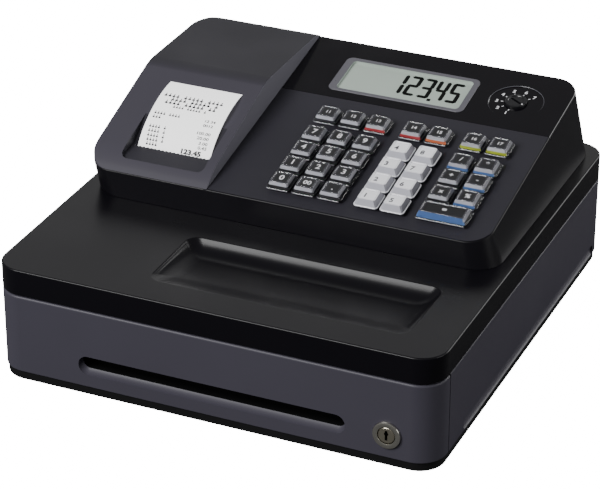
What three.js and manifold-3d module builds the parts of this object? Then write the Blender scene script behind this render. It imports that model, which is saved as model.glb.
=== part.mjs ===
// Ticket register: a compact electronic till standing on its cash drawer.
// Millimetres, +X to the right seen from the front, -Y to the front, +Z up.
// The origin is the middle of the footprint at the level of the rubber feet's soles.

import * as THREE from 'three';
import { mergeVertices } from 'three/addons/utils/BufferGeometryUtils.js';
import Module from 'manifold-3d';

const wasm = await Module();
wasm.setup();

// Clearances shared by every seat
const seatGap = 0.3;
const cutOver = 2;
const arcSteps = 4;
const smallArcSteps = 2;
const keyArcSteps = 1;
const roundSides = 24;

// Case footprint
const caseWidth = 326;
const caseDepth = 345;
const caseCorner = 22;
const caseWall = 3;

// Base pan and rubber feet
const panInset = 3;
const panHeight = 6.2;
const panWall = 2.2;
const panFloor = 2.2;
const railWidth = 9;
const railSpread = 210;
const footRadius = 9;
const footDrop = 2;
const footChamfer = 0.8;
const footSpigotRadius = 3.5;
const footInset = 34;

// Grey body: drawer front, side walls and back
const faceHeight = 60;
const faceReturn = 22.5;
const grooveLength = 272;
const grooveHeight = 6;
const grooveDepth = 1;
const grooveRise = 3.4;
const grooveRearShift = 14;
const holdDownDepth = 6;
const holdDownHeight = 4;

// Cord gland in the back wall
const glandBore = 3.6;
const glandRadius = 8;
const glandInside = 7;
const glandInset = 48;
const glandRise = 22;

// Black top cover with its rim band
const bandHeight = 19.2;
const coverSkin = 3;
const coverEdge = 1.2;
const trayWidth = 188;
const trayLength = 65;
const trayShiftX = 37;
const trayFrontMargin = 25.5;
const trayCorner = 9;
const trayRearDepth = 10;
const trayFrontDepth = 0.8;
const trayFillet = 5;

// Upper housing: plan at its foot and at the tilted keyboard plane
const housingWall = 2.5;
const footLeft = 154.3;
const footRight = 154;
const footFront = 48;
const footRear = 166;
const footCorner = 20;
const footHoodCorner = 25;
const panelLeft = 156;
const panelRight = 146.5;
const panelRear = 154.7;
const panelFront = 46;
const panelFrontCorner = 18;
const panelRearCorner = 18;
const panelRise = 19.4;
const panelTilt = THREE.MathUtils.degToRad(10.6);
const plateThickness = 3;
const bayRight = 61;

// Keys
const keyPitch = 19.4;
const keyTravel = 2.2;
const keyFlangeWidth = 18.2;
const keyFlangeLength = 17.6;
const keyFlangeThickness = 1;
const keyFlangeCorner = 2.4;
const keyBodyDraw = 0.7;
const keyTopDraw = 2;
const keyHeight = 8.2;
const keyTopCorner = 1.6;
const keyStemWidth = 11;
const keyStemLength = 9;
const keyStemReach = 4.5;
const keyRows = 4;
const keyFirstRow = 20.3;
const keyTopRowStep = 25.5;
const numberColumn = -11.7;
const departmentCount = 8;
const departmentColumn = 54.4;
const functionColumns = 2;
const functionColumn = 99.9;

// Circuit board under the keys
const boardDrop = 5;
const boardThickness = 1.6;
const boardSideMargin = 17;
const boardMargin = 8;
const boardPostRadius = 3.2;
const boardPostInset = 7;

// Display panel, display window and display module
const displayStart = 131.8;
const displayThickness = 2.6;
const displayLedge = 4;
const displayLedgeDepth = 3;
const windowWidth = 102.7;
const windowLength = 40;
const windowCentreX = 23.9;
const windowCentreS = 162;
const windowCorner = 2.5;
const glassLeftMargin = 5.2;
const glassRightMargin = 2.5;
const glassFrontMargin = 1.2;
const glassRearMargin = 2.1;
const bezelSink = 0.5;
const glassSink = 1.3;
const moduleFlange = 3;
const moduleDepth = 4;

// Mode switch
const modeCentreX = 109.3;
const modeCentreS = 165.7;
const modeDishRadius = 20;
const modeDishDepth = 0.8;
const modeRotorRadius = 8.2;
const modeRotorProud = 1.4;
const modeCollarRadius = 11;
const modeCollarThickness = 2;
const modeRotorReach = 12;
const modeSlotWidth = 1.8;
const modeSlotLength = 9.5;
const modeSlotDepth = 4;

// Printer cover
const coverWall = 2.2;
const noseY = -24;
const noseRise = 33;
const slopeAngle = THREE.MathUtils.degToRad(18.7);
const crownHeight = 60.4;
const crownBlend = 7;
const crownRearReach = 13;
const crownRearShare = 0.35;
const hoodFrontCorner = 16;
const hoodRearCorner = 27;
const hoodInnerCorner = 1.5;
const pocketLeftMargin = 3.95;
const pocketRightMargin = 3.55;
const pocketFront = -37;
const pocketApron = 4.4;
const pocketFloorRise = 25;
const slotFront = -19.2;
const slotRear = -15;
const pocketBack = 5;
const pocketCorner = 5;
const toothPitch = 3;
const toothDepth = 0.9;
const tabWidth = 10;
const tabThickness = 1.6;
const tabDrop = 4;
const tabSpread = 44;

// Paper, roll and printer mechanism
const paperWidth = 57.5;
const paperThickness = 0.24;
const paperInset = 55.2;
const paperPlane = -17;
const rollRadius = 33;
const rollCore = 6.5;
const rollCentreY = 90;
const bucketRadius = 36;
const bucketWall = 2;
const bucketCentreRise = 20.4;
const bucketLip = 2.5;
const bucketLead = 14;
const bucketSide = 1;
const platenRadius = 7;
const platenSink = 10;
const platenShaftRadius = 2.5;
const platenShaftReach = 5;
const cheekThickness = 2.5;
const cheekGap = 1.6;
const cheekHeight = 23;
const cheekLength = 46;
const headThickness = 11;
const headHeight = 12;
const motorSideGap = 5.1;
const motorHeight = 22;
const motorLength = 38;
const motorLead = 16;
const bedThickness = 2.4;
const paperJoinRise = 1.4;
const slipExitReach = 2.4;
const slipExitLift = 7.5;
const slipBowReach = 25;
const slipBowLift = 27;
const slipEndReach = 55.5;
const slipEndLift = 28.9;

// Drawer
const trayWall = 2.2;
const trayFloor = 2;
const trayHeight = 46;
const drawerSideGap = 8;
const drawerRearGap = 19;
const coinBayLength = 118;
const partitionHeight = 40;
const fingerSlotLockGap = 29.8;
const fingerSlotHeight = 14.3;
const fingerSlotRise = 9.7;
const fingerPocketDepth = 14;
const fingerPocketHeadroom = 6;
const fingerPocketWall = 2.4;
const fingerScoop = 8;
const fingerScoopSteps = 6;

// Coin insert
const insertHeight = 38;
const insertWall = 2.4;
const insertFloor = 2;
const cupColumns = 4;
const cupRows = 2;
const cupScoop = 17;
const cupScoopSteps = 5;

// Bill bays and clips
const billBays = 3;
const clipWidth = 16;
const clipPivotInset = 9;
const clipPinRadius = 1.7;
const clipBarrelRadius = 3.8;
const clipArmLength = 62;
const clipArmThickness = 2;
const clipTipRadius = 4;
const clipPostThickness = 3;
const clipPivotDrop = 5.5;

// Drawer lock
const lockInset = 34.7;
const lockRise = 17.8;
const bezelRadius = 10;
const bezelProud = 2;
const barrelRadius = 8;
const barrelReach = 15;
const plugRadius = 5.8;
const plugSink = 0.5;
const plugSlotWidth = 1.8;
const plugSlotLength = 8;
const plugSlotDepth = 4;
const camReach = 32;
const camWidth = 8;
const camThickness = 2;
const camRestTurn = THREE.MathUtils.degToRad(-55);
const strikeWidth = 12;
const strikeThickness = 3;
const strikeSlack = 2;

// Levels and faces worked out from the sizes above
const halfWidth = caseWidth / 2;
const halfDepth = caseDepth / 2;
const shellBottom = panHeight + seatGap;
const shellTop = shellBottom + faceHeight;
const coverBottom = shellTop + seatGap;
const coverTop = coverBottom + bandHeight;
const housingBottom = coverTop + seatGap;
const returnY = faceReturn - halfDepth;
const panelFrontZ = coverTop + panelRise;
const tiltRise = Math.tan(panelTilt);
const tiltCos = Math.cos(panelTilt);
const bayInnerRight = -bayRight - housingWall;
const bayFloor = coverTop + seatGap;
const pocketFloor = coverTop + pocketFloorRise;
const paperCentreX = paperInset - panelLeft;
const platenHeight = pocketFloor - platenSink;
const bucketCentreZ = coverTop + bucketCentreRise;
const paperJoinHeight = pocketFloor + paperJoinRise;

const panelZ = (y) => panelFrontZ + (y + panelFront) * tiltRise;

// Finishes
const finish = (color, roughness, metalness = 0) => (
  new THREE.MeshStandardMaterial({ color, roughness, metalness }));
const finishes = {
  pan: finish(0x1b1b1c, 0.7),
  rubber: finish(0x101010, 0.95),
  body: finish(0x43414a, 0.5),
  cover: finish(0x1f1e22, 0.4),
  housing: finish(0x232227, 0.42),
  display: finish(0x0e0d10, 0.12),
  module: finish(0xa9b2aa, 0.3),
  board: finish(0x2c5a38, 0.6),
  rotor: finish(0x161618, 0.35),
  hood: finish(0x55535c, 0.45),
  mechanism: finish(0x2b2b2e, 0.6),
  platen: finish(0x202021, 0.9),
  paper: finish(0xf2f1ec, 0.85),
  drawer: finish(0x202023, 0.6),
  insert: finish(0x2a2a2e, 0.55),
  clip: finish(0x303034, 0.5),
  chrome: finish(0xc4c2bd, 0.25, 1),
  brass: finish(0xb9a878, 0.3, 1),
  keyDark: finish(0x26252a, 0.3),
  keyWhite: finish(0xe4e3e6, 0.4),
  keyRed: finish(0xb0343c, 0.3),
  keyOrange: finish(0xd2683a, 0.3),
  keyGreen: finish(0xb8c23e, 0.3),
  keyBlue: finish(0x4f73ad, 0.3),
};

// Solids: closed geometry in, joined or cut body out
function toSolid(geometry) {
  const bare = geometry.clone();
  bare.deleteAttribute('normal');
  bare.deleteAttribute('uv');
  const welded = mergeVertices(bare);
  const corners = welded.getAttribute('position').array;
  const faces = welded.getIndex().array;
  return new wasm.Manifold(new wasm.Mesh({
    numProp: 3,
    vertProperties: Float32Array.from(corners),
    triVerts: Uint32Array.from(faces),
  }));
}

function toGeometry(body) {
  const mesh = body.getMesh();
  const geometry = new THREE.BufferGeometry();
  geometry.setAttribute('position', new THREE.BufferAttribute(mesh.vertProperties, 3));
  geometry.setIndex(new THREE.BufferAttribute(mesh.triVerts, 1));
  geometry.computeVertexNormals();
  return geometry;
}

const join = (...bodies) => bodies.reduce((sum, body) => sum.add(body));
const cut = (body, ...tools) => tools.reduce((rest, tool) => rest.subtract(tool), body);
const common = (first, second) => first.intersect(second);

// A box between two corners
function block([x0, x1], [y0, y1], [z0, z1], frame = null) {
  const geometry = new THREE.BoxGeometry(x1 - x0, y1 - y0, z1 - z0);
  geometry.translate((x0 + x1) / 2, (y0 + y1) / 2, (z0 + z1) / 2);
  if (frame) geometry.applyMatrix4(frame);
  return toSolid(geometry);
}

// A rectangle with a radius for each corner: front left, front right, rear right, rear left
function roundedRect([x0, x1], [y0, y1], radii) {
  const [frontLeft, frontRight, rearRight, rearLeft] = Array.isArray(radii) ? radii : Array(4).fill(radii);
  const shape = new THREE.Shape();
  shape.absarc(x0 + frontLeft, y0 + frontLeft, frontLeft, Math.PI, 1.5 * Math.PI, false);
  shape.absarc(x1 - frontRight, y0 + frontRight, frontRight, 1.5 * Math.PI, 2 * Math.PI, false);
  shape.absarc(x1 - rearRight, y1 - rearRight, rearRight, 0, 0.5 * Math.PI, false);
  shape.absarc(x0 + rearLeft, y1 - rearLeft, rearLeft, 0.5 * Math.PI, Math.PI, false);
  shape.closePath();
  return shape;
}

// An outline run straight out by a depth
function extruded(shape, depth, steps) {
  return new THREE.ExtrudeGeometry(shape, { depth, bevelEnabled: false, curveSegments: steps });
}

// An outline in plan raised from one level to another
function raised(shape, [z0, z1], steps = arcSteps, frame = null) {
  const geometry = extruded(shape, z1 - z0, steps);
  geometry.translate(0, 0, z0);
  if (frame) geometry.applyMatrix4(frame);
  return toSolid(geometry);
}

// A side profile drawn in Y and Z, run across from one X to another
const acrossFrame = new THREE.Matrix4().makeBasis(
  new THREE.Vector3(0, 1, 0),
  new THREE.Vector3(0, 0, 1),
  new THREE.Vector3(1, 0, 0),
);

function across(shape, [x0, x1], steps = arcSteps) {
  const geometry = extruded(shape, x1 - x0, steps);
  geometry.translate(0, 0, x0);
  geometry.applyMatrix4(acrossFrame);
  return toSolid(geometry);
}

// A front outline drawn in X and Z, run back from one Y to another
function backward(shape, [y0, y1], steps = arcSteps) {
  const geometry = extruded(shape, y1 - y0, steps);
  geometry.rotateX(Math.PI / 2);
  geometry.translate(0, y1, 0);
  return toSolid(geometry);
}

// A turned profile about Z; the points are radius and height
function turned(points, steps = roundSides) {
  const profile = points.map(([radius, height]) => new THREE.Vector2(radius, height));
  return new THREE.LatheGeometry(profile, steps).rotateX(Math.PI / 2);
}

// A closed skin over rings of equal point count, from the lowest ring to the highest
function loft(rings) {
  const count = rings[0].length;
  const corners = rings.flatMap((ring) => ring.flatMap((point) => [point.x, point.y, point.z]));
  const faces = [];
  for (let level = 0; level + 1 < rings.length; level += 1) {
    for (let i = 0; i < count; i += 1) {
      const next = (i + 1) % count;
      const low = level * count;
      const high = low + count;
      faces.push(low + i, low + next, high + next);
      faces.push(low + i, high + next, high + i);
    }
  }
  const top = (rings.length - 1) * count;
  for (let i = 1; i + 1 < count; i += 1) {
    faces.push(0, i + 1, i);
    faces.push(top, top + i, top + i + 1);
  }
  const geometry = new THREE.BufferGeometry();
  geometry.setAttribute('position', new THREE.Float32BufferAttribute(corners, 3));
  geometry.setIndex(faces);
  return toSolid(geometry);
}

// The points of a rounded rectangle lifted to a height that may change with the place
function ring(shape, heightAt, steps = arcSteps) {
  const points = shape.getPoints(steps).slice(0, -1);
  return points.map((point) => new THREE.Vector3(point.x, point.y, heightAt(point.x, point.y)));
}

// A flat strip of even thickness that follows points in Y and Z
function ribbon(points, thickness) {
  const half = thickness / 2;
  const normals = points.map((point, i) => {
    const before = points[Math.max(i - 1, 0)];
    const after = points[Math.min(i + 1, points.length - 1)];
    const along = after.clone().sub(before).normalize();
    return new THREE.Vector2(-along.y, along.x);
  });
  const left = points.map((point, i) => point.clone().addScaledVector(normals[i], half));
  const right = points.map((point, i) => point.clone().addScaledVector(normals[i], -half));
  return new THREE.Shape([...right, ...left.reverse()]);
}

// The tilted plane of keyboard and display: X across, Y up the slope, Z out of the plane
const panelFrame = new THREE.Matrix4().makeRotationX(panelTilt).setPosition(0, -panelFront, panelFrontZ);

const object = new THREE.Group();
const panelGroup = new THREE.Group();
panelGroup.position.set(0, -panelFront, panelFrontZ);
panelGroup.rotation.x = panelTilt;
object.add(panelGroup);

function place(name, geometry, material, parent = object) {
  const mesh = new THREE.Mesh(geometry, material);
  mesh.name = name;
  parent.add(mesh);
  return mesh;
}

// The case outline drawn in by an inset
function caseOutline(inset) {
  const half = [halfWidth - inset, halfDepth - inset];
  return roundedRect([-half[0], half[0]], [-half[1], half[1]], caseCorner - inset);
}

// Base pan: a shallow black tray with the drawer's two rails
function makeBasePan() {
  const inner = panInset + panWall;
  const floor = raised(caseOutline(panInset), [0, panHeight]);
  const hollow = raised(caseOutline(inner), [panFloor, panHeight + cutOver]);
  const rails = [-1, 1].map((side) => {
    const x = side * railSpread / 2;
    const end = halfDepth - caseCorner;
    return block([x - railWidth / 2, x + railWidth / 2], [-end, end], [panFloor / 2, panHeight]);
  });
  const holes = footPlaces().map(([x, y]) => {
    const bore = new THREE.CylinderGeometry(
      footSpigotRadius + seatGap, footSpigotRadius + seatGap, panHeight + cutOver * 2, roundSides);
    return toSolid(bore.rotateX(Math.PI / 2).translate(x, y, panHeight / 2));
  });
  return cut(join(cut(floor, hollow), ...rails), ...holes);
}

function footPlaces() {
  const x = halfWidth - footInset;
  const y = halfDepth - footInset;
  return [[-x, -y], [x, -y], [-x, y], [x, y]];
}

// Rubber foot with the spigot that plugs into the pan
function footGeometry() {
  return turned([
    [0, -footDrop],
    [footRadius - footChamfer, -footDrop],
    [footRadius, footChamfer - footDrop],
    [footRadius, -seatGap],
    [footSpigotRadius, -seatGap],
    [footSpigotRadius, panFloor],
    [0, panFloor],
  ], roundSides);
}

// Grey shell: two side walls and the back in one moulding, open in front, above and below
function makeCaseShell() {
  const wallFront = returnY + seatGap;
  const outer = raised(caseOutline(0), [shellBottom, shellTop]);
  const inner = raised(caseOutline(caseWall), [shellBottom - cutOver, shellTop + cutOver]);
  const mouth = block(
    [-caseWidth, caseWidth], [-caseDepth, wallFront], [shellBottom - cutOver, shellTop + cutOver]);
  const innerFace = halfWidth - caseWall;
  const ribBottom = shellBottom + trayHeight + seatGap;
  const ribs = [-1, 1].map((side) => {
    const x = [side * (innerFace - holdDownDepth), side * (innerFace + caseWall / 2)].sort((a, b) => a - b);
    return block(x, [wallFront, halfDepth - caseCorner], [ribBottom, ribBottom + holdDownHeight]);
  });
  const grooveBottom = shellBottom + grooveRise - grooveHeight / 2;
  const grooves = [-1, 1].map((side) => {
    const x = side * (halfWidth - grooveDepth);
    const faces = [x, x + side * caseWall * cutOver].sort((a, b) => a - b);
    const middle = grooveRearShift;
    return block(
      faces,
      [middle - grooveLength / 2, middle + grooveLength / 2],
      [grooveBottom, grooveBottom + grooveHeight]);
  });
  const walls = cut(join(cut(outer, inner, mouth), ...ribs), ...grooves);
  return cut(join(walls, glandBody()), glandHole());
}

const glandAt = (radius, y0, y1) => {
  const tube = new THREE.CylinderGeometry(radius, radius, y1 - y0, roundSides);
  return toSolid(tube.translate(halfWidth - glandInset, (y0 + y1) / 2, shellBottom + glandRise));
};
const glandFront = halfDepth - caseWall - glandInside;
const glandBody = () => glandAt(glandRadius, glandFront, halfDepth - caseWall / 2);
const glandHole = () => glandAt(glandBore, glandFront - cutOver, halfDepth + cutOver);

// Top cover: a lid with a rim band, a ramped change tray and a well for the paper bucket
const trayX = [trayShiftX - trayWidth / 2, trayShiftX + trayWidth / 2];
const trayY = [trayFrontMargin - halfDepth, trayFrontMargin - halfDepth + trayLength];

const trayDepthAt = (y) => THREE.MathUtils.mapLinear(y, trayY[0], trayY[1], trayFrontDepth, trayRearDepth);

function trayOutline(inset) {
  return roundedRect(
    [trayX[0] + inset, trayX[1] - inset], [trayY[0] + inset, trayY[1] - inset], trayCorner - inset);
}

function trayHollow() {
  const levels = smallArcSteps + 1;
  const rings = [];
  for (let level = 0; level <= levels; level += 1) {
    const turn = (level / levels) * Math.PI / 2;
    const inset = trayFillet * (1 - Math.sin(turn));
    const heightAt = (x, y) => {
      const depth = trayDepthAt(y);
      return coverTop - depth + Math.min(trayFillet, depth / 2) * (1 - Math.cos(turn));
    };
    rings.push(ring(trayOutline(inset), heightAt));
  }
  rings.push(ring(trayOutline(0), () => coverTop + cutOver));
  return loft(rings);
}

function trayShell() {
  const outline = trayOutline(-coverSkin);
  return loft([
    ring(outline, (x, y) => coverTop - trayDepthAt(y) - coverSkin),
    ring(outline, () => coverTop - coverSkin / 2),
  ]);
}

function makeTopCover() {
  const lid = new THREE.ExtrudeGeometry(caseOutline(coverEdge), {
    depth: bandHeight,
    bevelSize: coverEdge,
    bevelThickness: coverEdge,
    bevelSegments: smallArcSteps,
    curveSegments: arcSteps,
  });
  lid.translate(0, 0, coverTop - coverEdge - bandHeight);
  const below = block([-caseWidth, caseWidth], [-caseDepth, caseDepth], [0, coverBottom]);
  const under = raised(caseOutline(caseWall), [coverBottom - cutOver, coverTop - coverSkin]);
  const shell = join(cut(toSolid(lid), below, under), trayShell(), lockStrike());
  return cut(shell, trayHollow(), bucketWell());
}

// The tongue that hangs down in front of the turned-up lock cam
function lockStrike() {
  const back = barrelReach + seatGap - halfDepth - strikeSlack;
  return block(
    [lockX - strikeWidth / 2, lockX + strikeWidth / 2],
    [back - strikeThickness, back],
    [trayTop + seatGap, coverTop - coverSkin / 2]);
}

// The well that lets the paper bucket hang below the top cover
function bucketWell() {
  const side = paperWidth / 2 + bucketSide + bucketWall + seatGap;
  const rear = rollCentreY + bucketRadius + bucketWall + seatGap;
  const front = bucketRampY(coverTop + seatGap + bucketWall / Math.cos(feedAngle));
  return block(
    [paperCentreX - side, paperCentreX + side], [front, rear], [coverBottom, coverTop + cutOver]);
}

// Paper path: from under the roll, up a ramp, round the platen and out of the slot
const webOffset = seatGap + paperThickness / 2;
const rollCentreZ = bucketCentreZ - bucketRadius + rollRadius + webOffset * 2;
const platenY = paperPlane + webOffset + platenRadius;
const feedVector = new THREE.Vector2(platenY - rollCentreY, platenHeight - rollCentreZ);
const feedAngle = Math.asin((rollRadius - platenRadius) / feedVector.length())
  + Math.atan2(feedVector.y, -feedVector.x);

const onCircle = (y, z, radius, turn) => new THREE.Vector2(
  y + radius * Math.cos(turn), z + radius * Math.sin(turn));
const feedTurn = 1.5 * Math.PI - feedAngle;

function bucketRampY(z) {
  const foot = onCircle(rollCentreY, bucketCentreZ, bucketRadius, feedTurn);
  return foot.x - (z - foot.y) / Math.tan(feedAngle);
}

function webPath() {
  const start = onCircle(rollCentreY, rollCentreZ, rollRadius + webOffset, feedTurn);
  const points = [start];
  for (let i = 0; i <= smallArcSteps + 1; i += 1) {
    const turn = THREE.MathUtils.lerp(feedTurn, Math.PI, i / (smallArcSteps + 1));
    points.push(onCircle(platenY, platenHeight, platenRadius + webOffset, turn));
  }
  points.push(new THREE.Vector2(paperPlane, paperJoinHeight - seatGap));
  return points;
}

function makePaperWeb() {
  const half = paperWidth / 2;
  return across(ribbon(webPath(), paperThickness), [paperCentreX - half, paperCentreX + half]);
}

// The printed slip stands in the cutter slot and curls back over the cover
function makeReceipt() {
  const from = (reach, lift) => new THREE.Vector2(paperPlane + reach, paperJoinHeight + lift);
  const curve = new THREE.CubicBezierCurve(
    from(0, 0),
    from(slipExitReach, slipExitLift),
    from(slipBowReach, slipBowLift),
    from(slipEndReach, slipEndLift));
  const half = paperWidth / 2;
  const strip = ribbon(curve.getPoints(roundSides), paperThickness);
  return across(strip, [paperCentreX - half, paperCentreX + half]);
}

function makePaperRoll() {
  const half = paperWidth / 2;
  const geometry = turned([
    [rollCore, -half], [rollRadius, -half], [rollRadius, half], [rollCore, half], [rollCore, -half],
  ]);
  return geometry.rotateY(Math.PI / 2);
}

function makePlaten() {
  const half = paperWidth / 2;
  const end = half + cheekGap + platenShaftReach;
  const geometry = turned([
    [0, -end], [platenShaftRadius, -end], [platenShaftRadius, -half], [platenRadius, -half],
    [platenRadius, half], [platenShaftRadius, half], [platenShaftRadius, end], [0, end],
  ], roundSides);
  return geometry.rotateY(Math.PI / 2);
}

// Printer frame: bed, paper bucket, two cheeks, print head block and motor housing
function bucketProfile(radius, top, lead) {
  const shape = new THREE.Shape();
  shape.moveTo(rollCentreY + radius, top);
  shape.absarc(rollCentreY, bucketCentreZ, radius, 0, feedTurn - 2 * Math.PI, true);
  const foot = onCircle(rollCentreY, bucketCentreZ, radius, feedTurn);
  shape.lineTo(lead, foot.y + (foot.x - lead) * Math.tan(feedAngle));
  shape.lineTo(lead, top);
  shape.closePath();
  return shape;
}

function makePrinterFrame() {
  const inner = paperWidth / 2 + bucketSide;
  const outer = inner + bucketWall;
  const rampEnd = platenY + bucketLead;
  const bucketTop = bucketCentreZ + bucketLip;
  const outside = across(
    bucketProfile(bucketRadius + bucketWall, bucketTop, rampEnd),
    [paperCentreX - outer, paperCentreX + outer]);
  const inside = across(
    bucketProfile(bucketRadius, bucketTop + cutOver, rampEnd - cutOver),
    [paperCentreX - inner, paperCentreX + inner]);
  const cheekFront = paperPlane - headThickness;
  const cheeks = [-1, 1].map((side) => {
    const near = paperWidth / 2 + cheekGap;
    const x = [near, near + cheekThickness].map((offset) => paperCentreX + side * offset);
    x.sort((a, b) => a - b);
    return block(x, [cheekFront, cheekFront + cheekLength], [bayFloor, bayFloor + cheekHeight]);
  });
  const reach = paperWidth / 2 + cheekGap + cheekThickness / 2;
  const bed = block(
    [paperCentreX - reach, paperCentreX + reach],
    [cheekFront, paperPlane - seatGap],
    [bayFloor, bayFloor + bedThickness]);
  const headTop = bayFloor + cheekHeight;
  const head = block(
    [paperCentreX - reach, paperCentreX + reach],
    [cheekFront, paperPlane - webOffset],
    [headTop - headHeight, headTop]);
  const motorRight = paperCentreX - paperWidth / 2 - cheekGap - cheekThickness / 2;
  const motor = block(
    [housingWall + motorSideGap - footLeft, motorRight],
    [paperPlane - motorLead, paperPlane - motorLead + motorLength],
    [bayFloor, bayFloor + motorHeight]);
  const bore = new THREE.CylinderGeometry(
    platenShaftRadius + seatGap, platenShaftRadius + seatGap,
    paperWidth + 2 * (cheekGap + platenShaftReach + seatGap), roundSides);
  bore.rotateZ(Math.PI / 2).translate(paperCentreX, platenY, platenHeight);
  return cut(join(cut(outside, inside), ...cheeks, bed, head, motor), toSolid(bore));
}

// Upper housing: plan at its foot, plan at the tilted plane, drawn in by an inset
function footPlan(inset) {
  const radii = [footHoodCorner, footCorner, footCorner, footCorner].map((r) => r - inset);
  return roundedRect([inset - footLeft, footRight - inset], [inset - footFront, footRear - inset], radii);
}

function topPlan(inset) {
  const corners = [hoodFrontCorner, panelFrontCorner, panelRearCorner, hoodRearCorner];
  const radii = corners.map((r) => r - inset);
  return roundedRect(
    [inset - panelLeft, panelRight - inset], [inset - panelFront, panelRear - inset], radii);
}

function housingBody() {
  return loft([
    ring(footPlan(0), () => housingBottom),
    ring(topPlan(0), (x, y) => panelZ(y)),
  ]);
}

function housingHollow() {
  return loft([
    ring(footPlan(housingWall), () => housingBottom - cutOver),
    ring(topPlan(housingWall), (x, y) => panelZ(y) - plateThickness / tiltCos),
  ]);
}

const farUp = panelFrontZ + caseDepth;

// A box in the frame of the tilted plane
const panelBlock = (x, s, z) => block(x, s, z, panelFrame);

function bayOpening() {
  const x = [housingWall - footLeft, bayInnerRight];
  const y = [housingWall - panelFront, panelRear - housingWall];
  const radii = [
    footHoodCorner - housingWall, hoodInnerCorner, hoodInnerCorner, hoodRearCorner - housingWall];
  return raised(roundedRect(x, y, radii), [housingBottom, farUp]);
}

function displayOpening() {
  const front = (displayStart + displayLedge) * tiltCos - panelFront;
  const x = [-bayRight, panelRight - housingWall];
  const y = [front, panelRear - housingWall];
  const radii = [hoodInnerCorner, hoodInnerCorner, panelRearCorner - housingWall, hoodInnerCorner];
  return raised(roundedRect(x, y, radii), [housingBottom, farUp]);
}

function makeUpperHousing() {
  const shell = cut(housingBody(), housingHollow());
  const tall = [housingBottom, farUp];
  const partition = common(housingBody(), block([bayInnerRight, -bayRight], [-caseDepth, caseDepth], tall));
  const sink = -displayThickness - seatGap;
  const ledge = common(housingBody(), panelBlock(
    [-bayRight - housingWall / 2, caseWidth],
    [displayStart - displayLedge, displayStart + displayLedge],
    [sink - displayLedgeDepth, sink + seatGap]));
  const postTop = -plateThickness / 2;
  const postFoot = -plateThickness - boardDrop;
  const posts = boardPostPlaces().map(([x, s]) => {
    const post = new THREE.CylinderGeometry(
      boardPostRadius, boardPostRadius, postTop - postFoot, roundSides / 2);
    post.rotateX(Math.PI / 2).translate(x, s, (postTop + postFoot) / 2);
    return toSolid(post.applyMatrix4(panelFrame));
  });
  const recess = panelBlock([-bayRight, caseWidth], [displayStart - seatGap, caseDepth], [sink, caseWidth]);
  const stemHoles = keyPlaces().map(({ x, s, wide }) => {
    const halfX = (wide ? keyStemWidth + keyPitch : keyStemWidth) / 2 + seatGap;
    const halfS = keyStemLength / 2 + seatGap;
    return panelBlock(
      [x - halfX, x + halfX], [s - halfS, s + halfS], [-plateThickness - cutOver, cutOver]);
  });
  const opened = cut(shell, bayOpening(), displayOpening());
  return cut(join(opened, partition, ledge, ...posts), recess, ...stemHoles);
}

// Key places on the tilted plane: number block, departments, functions and the upper row
function keyPlaces() {
  const places = [];
  const add = (name, x, s, tone, wide = false) => places.push({ name, x, s, tone, wide });
  const rowAt = (row) => keyFirstRow + row * keyPitch;
  const numberNames = [['0', '00', 'point'], ['1', '2', '3'], ['4', '5', '6'], ['7', '8', '9']];
  numberNames.forEach((names, row) => names.forEach((name, column) => {
    add(`number_key_${name}`, numberColumn + column * keyPitch, rowAt(row), 'keyDark');
  }));
  for (let i = 0; i < departmentCount; i += 1) {
    const row = i % keyRows;
    const column = Math.floor(i / keyRows);
    add(`department_key_${i + 1}`, departmentColumn + column * keyPitch, rowAt(row), 'keyWhite');
  }
  const functionTones = ['keyDark', 'keyBlue', 'keyDark', 'keyBlue', 'keyBlue', 'keyBlue'];
  functionTones.forEach((tone, i) => {
    const row = 1 + Math.floor(i / functionColumns);
    add(`function_key_${i + 1}`, functionColumn + (i % functionColumns) * keyPitch, rowAt(row), tone);
  });
  add('total_key', functionColumn + keyPitch / 2, rowAt(0), 'keyBlue', true);
  const upper = rowAt(keyRows - 1) + keyTopRowStep;
  const upperColumns = [
    [numberColumn, 'keyDark'], [numberColumn + keyPitch, 'keyDark'],
    [numberColumn + 2 * keyPitch, 'keyRed'],
    [departmentColumn, 'keyRed'], [departmentColumn + keyPitch, 'keyOrange'],
    [functionColumn, 'keyGreen'], [functionColumn + keyPitch, 'keyGreen'],
  ];
  upperColumns.forEach(([x, tone], i) => add(`upper_key_${i + 1}`, x, upper, tone));
  return places;
}

// A key: stem through the plate, flange above it and a drafted cap
function keyGeometry(extra) {
  const flangeBottom = keyTravel + seatGap;
  const flangeTop = flangeBottom + keyFlangeThickness;
  const outline = (inset, corner) => {
    const halfX = (keyFlangeWidth + extra) / 2 - inset;
    const halfS = keyFlangeLength / 2 - inset;
    return roundedRect([-halfX, halfX], [-halfS, halfS], corner);
  };
  const flange = raised(outline(0, keyFlangeCorner), [flangeBottom, flangeTop], keyArcSteps);
  const capFoot = outline(keyBodyDraw, keyFlangeCorner - keyBodyDraw);
  const capTop = outline(keyBodyDraw + keyTopDraw, keyTopCorner);
  const cap = loft([
    ring(capFoot, () => flangeBottom + keyFlangeThickness / 2, keyArcSteps),
    ring(capTop, () => keyHeight, keyArcSteps),
  ]);
  const halfX = (keyStemWidth + extra) / 2;
  const halfS = keyStemLength / 2;
  const stem = block([-halfX, halfX], [-halfS, halfS], [-keyStemReach, flangeTop]);
  return toGeometry(join(flange, cap, stem));
}

// Circuit board hung from four posts under the key plate
const boardX = [
  numberColumn - keyFlangeWidth / 2 - boardSideMargin,
  functionColumn + keyPitch + boardSideMargin,
];
const boardS = [boardMargin, displayStart - displayLedge - boardMargin];

function boardPostPlaces() {
  return boardX.flatMap((x, i) => boardS.map((s, j) => [
    x + (i ? -1 : 1) * boardPostInset, s + (j ? -1 : 1) * boardPostInset]));
}

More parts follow.
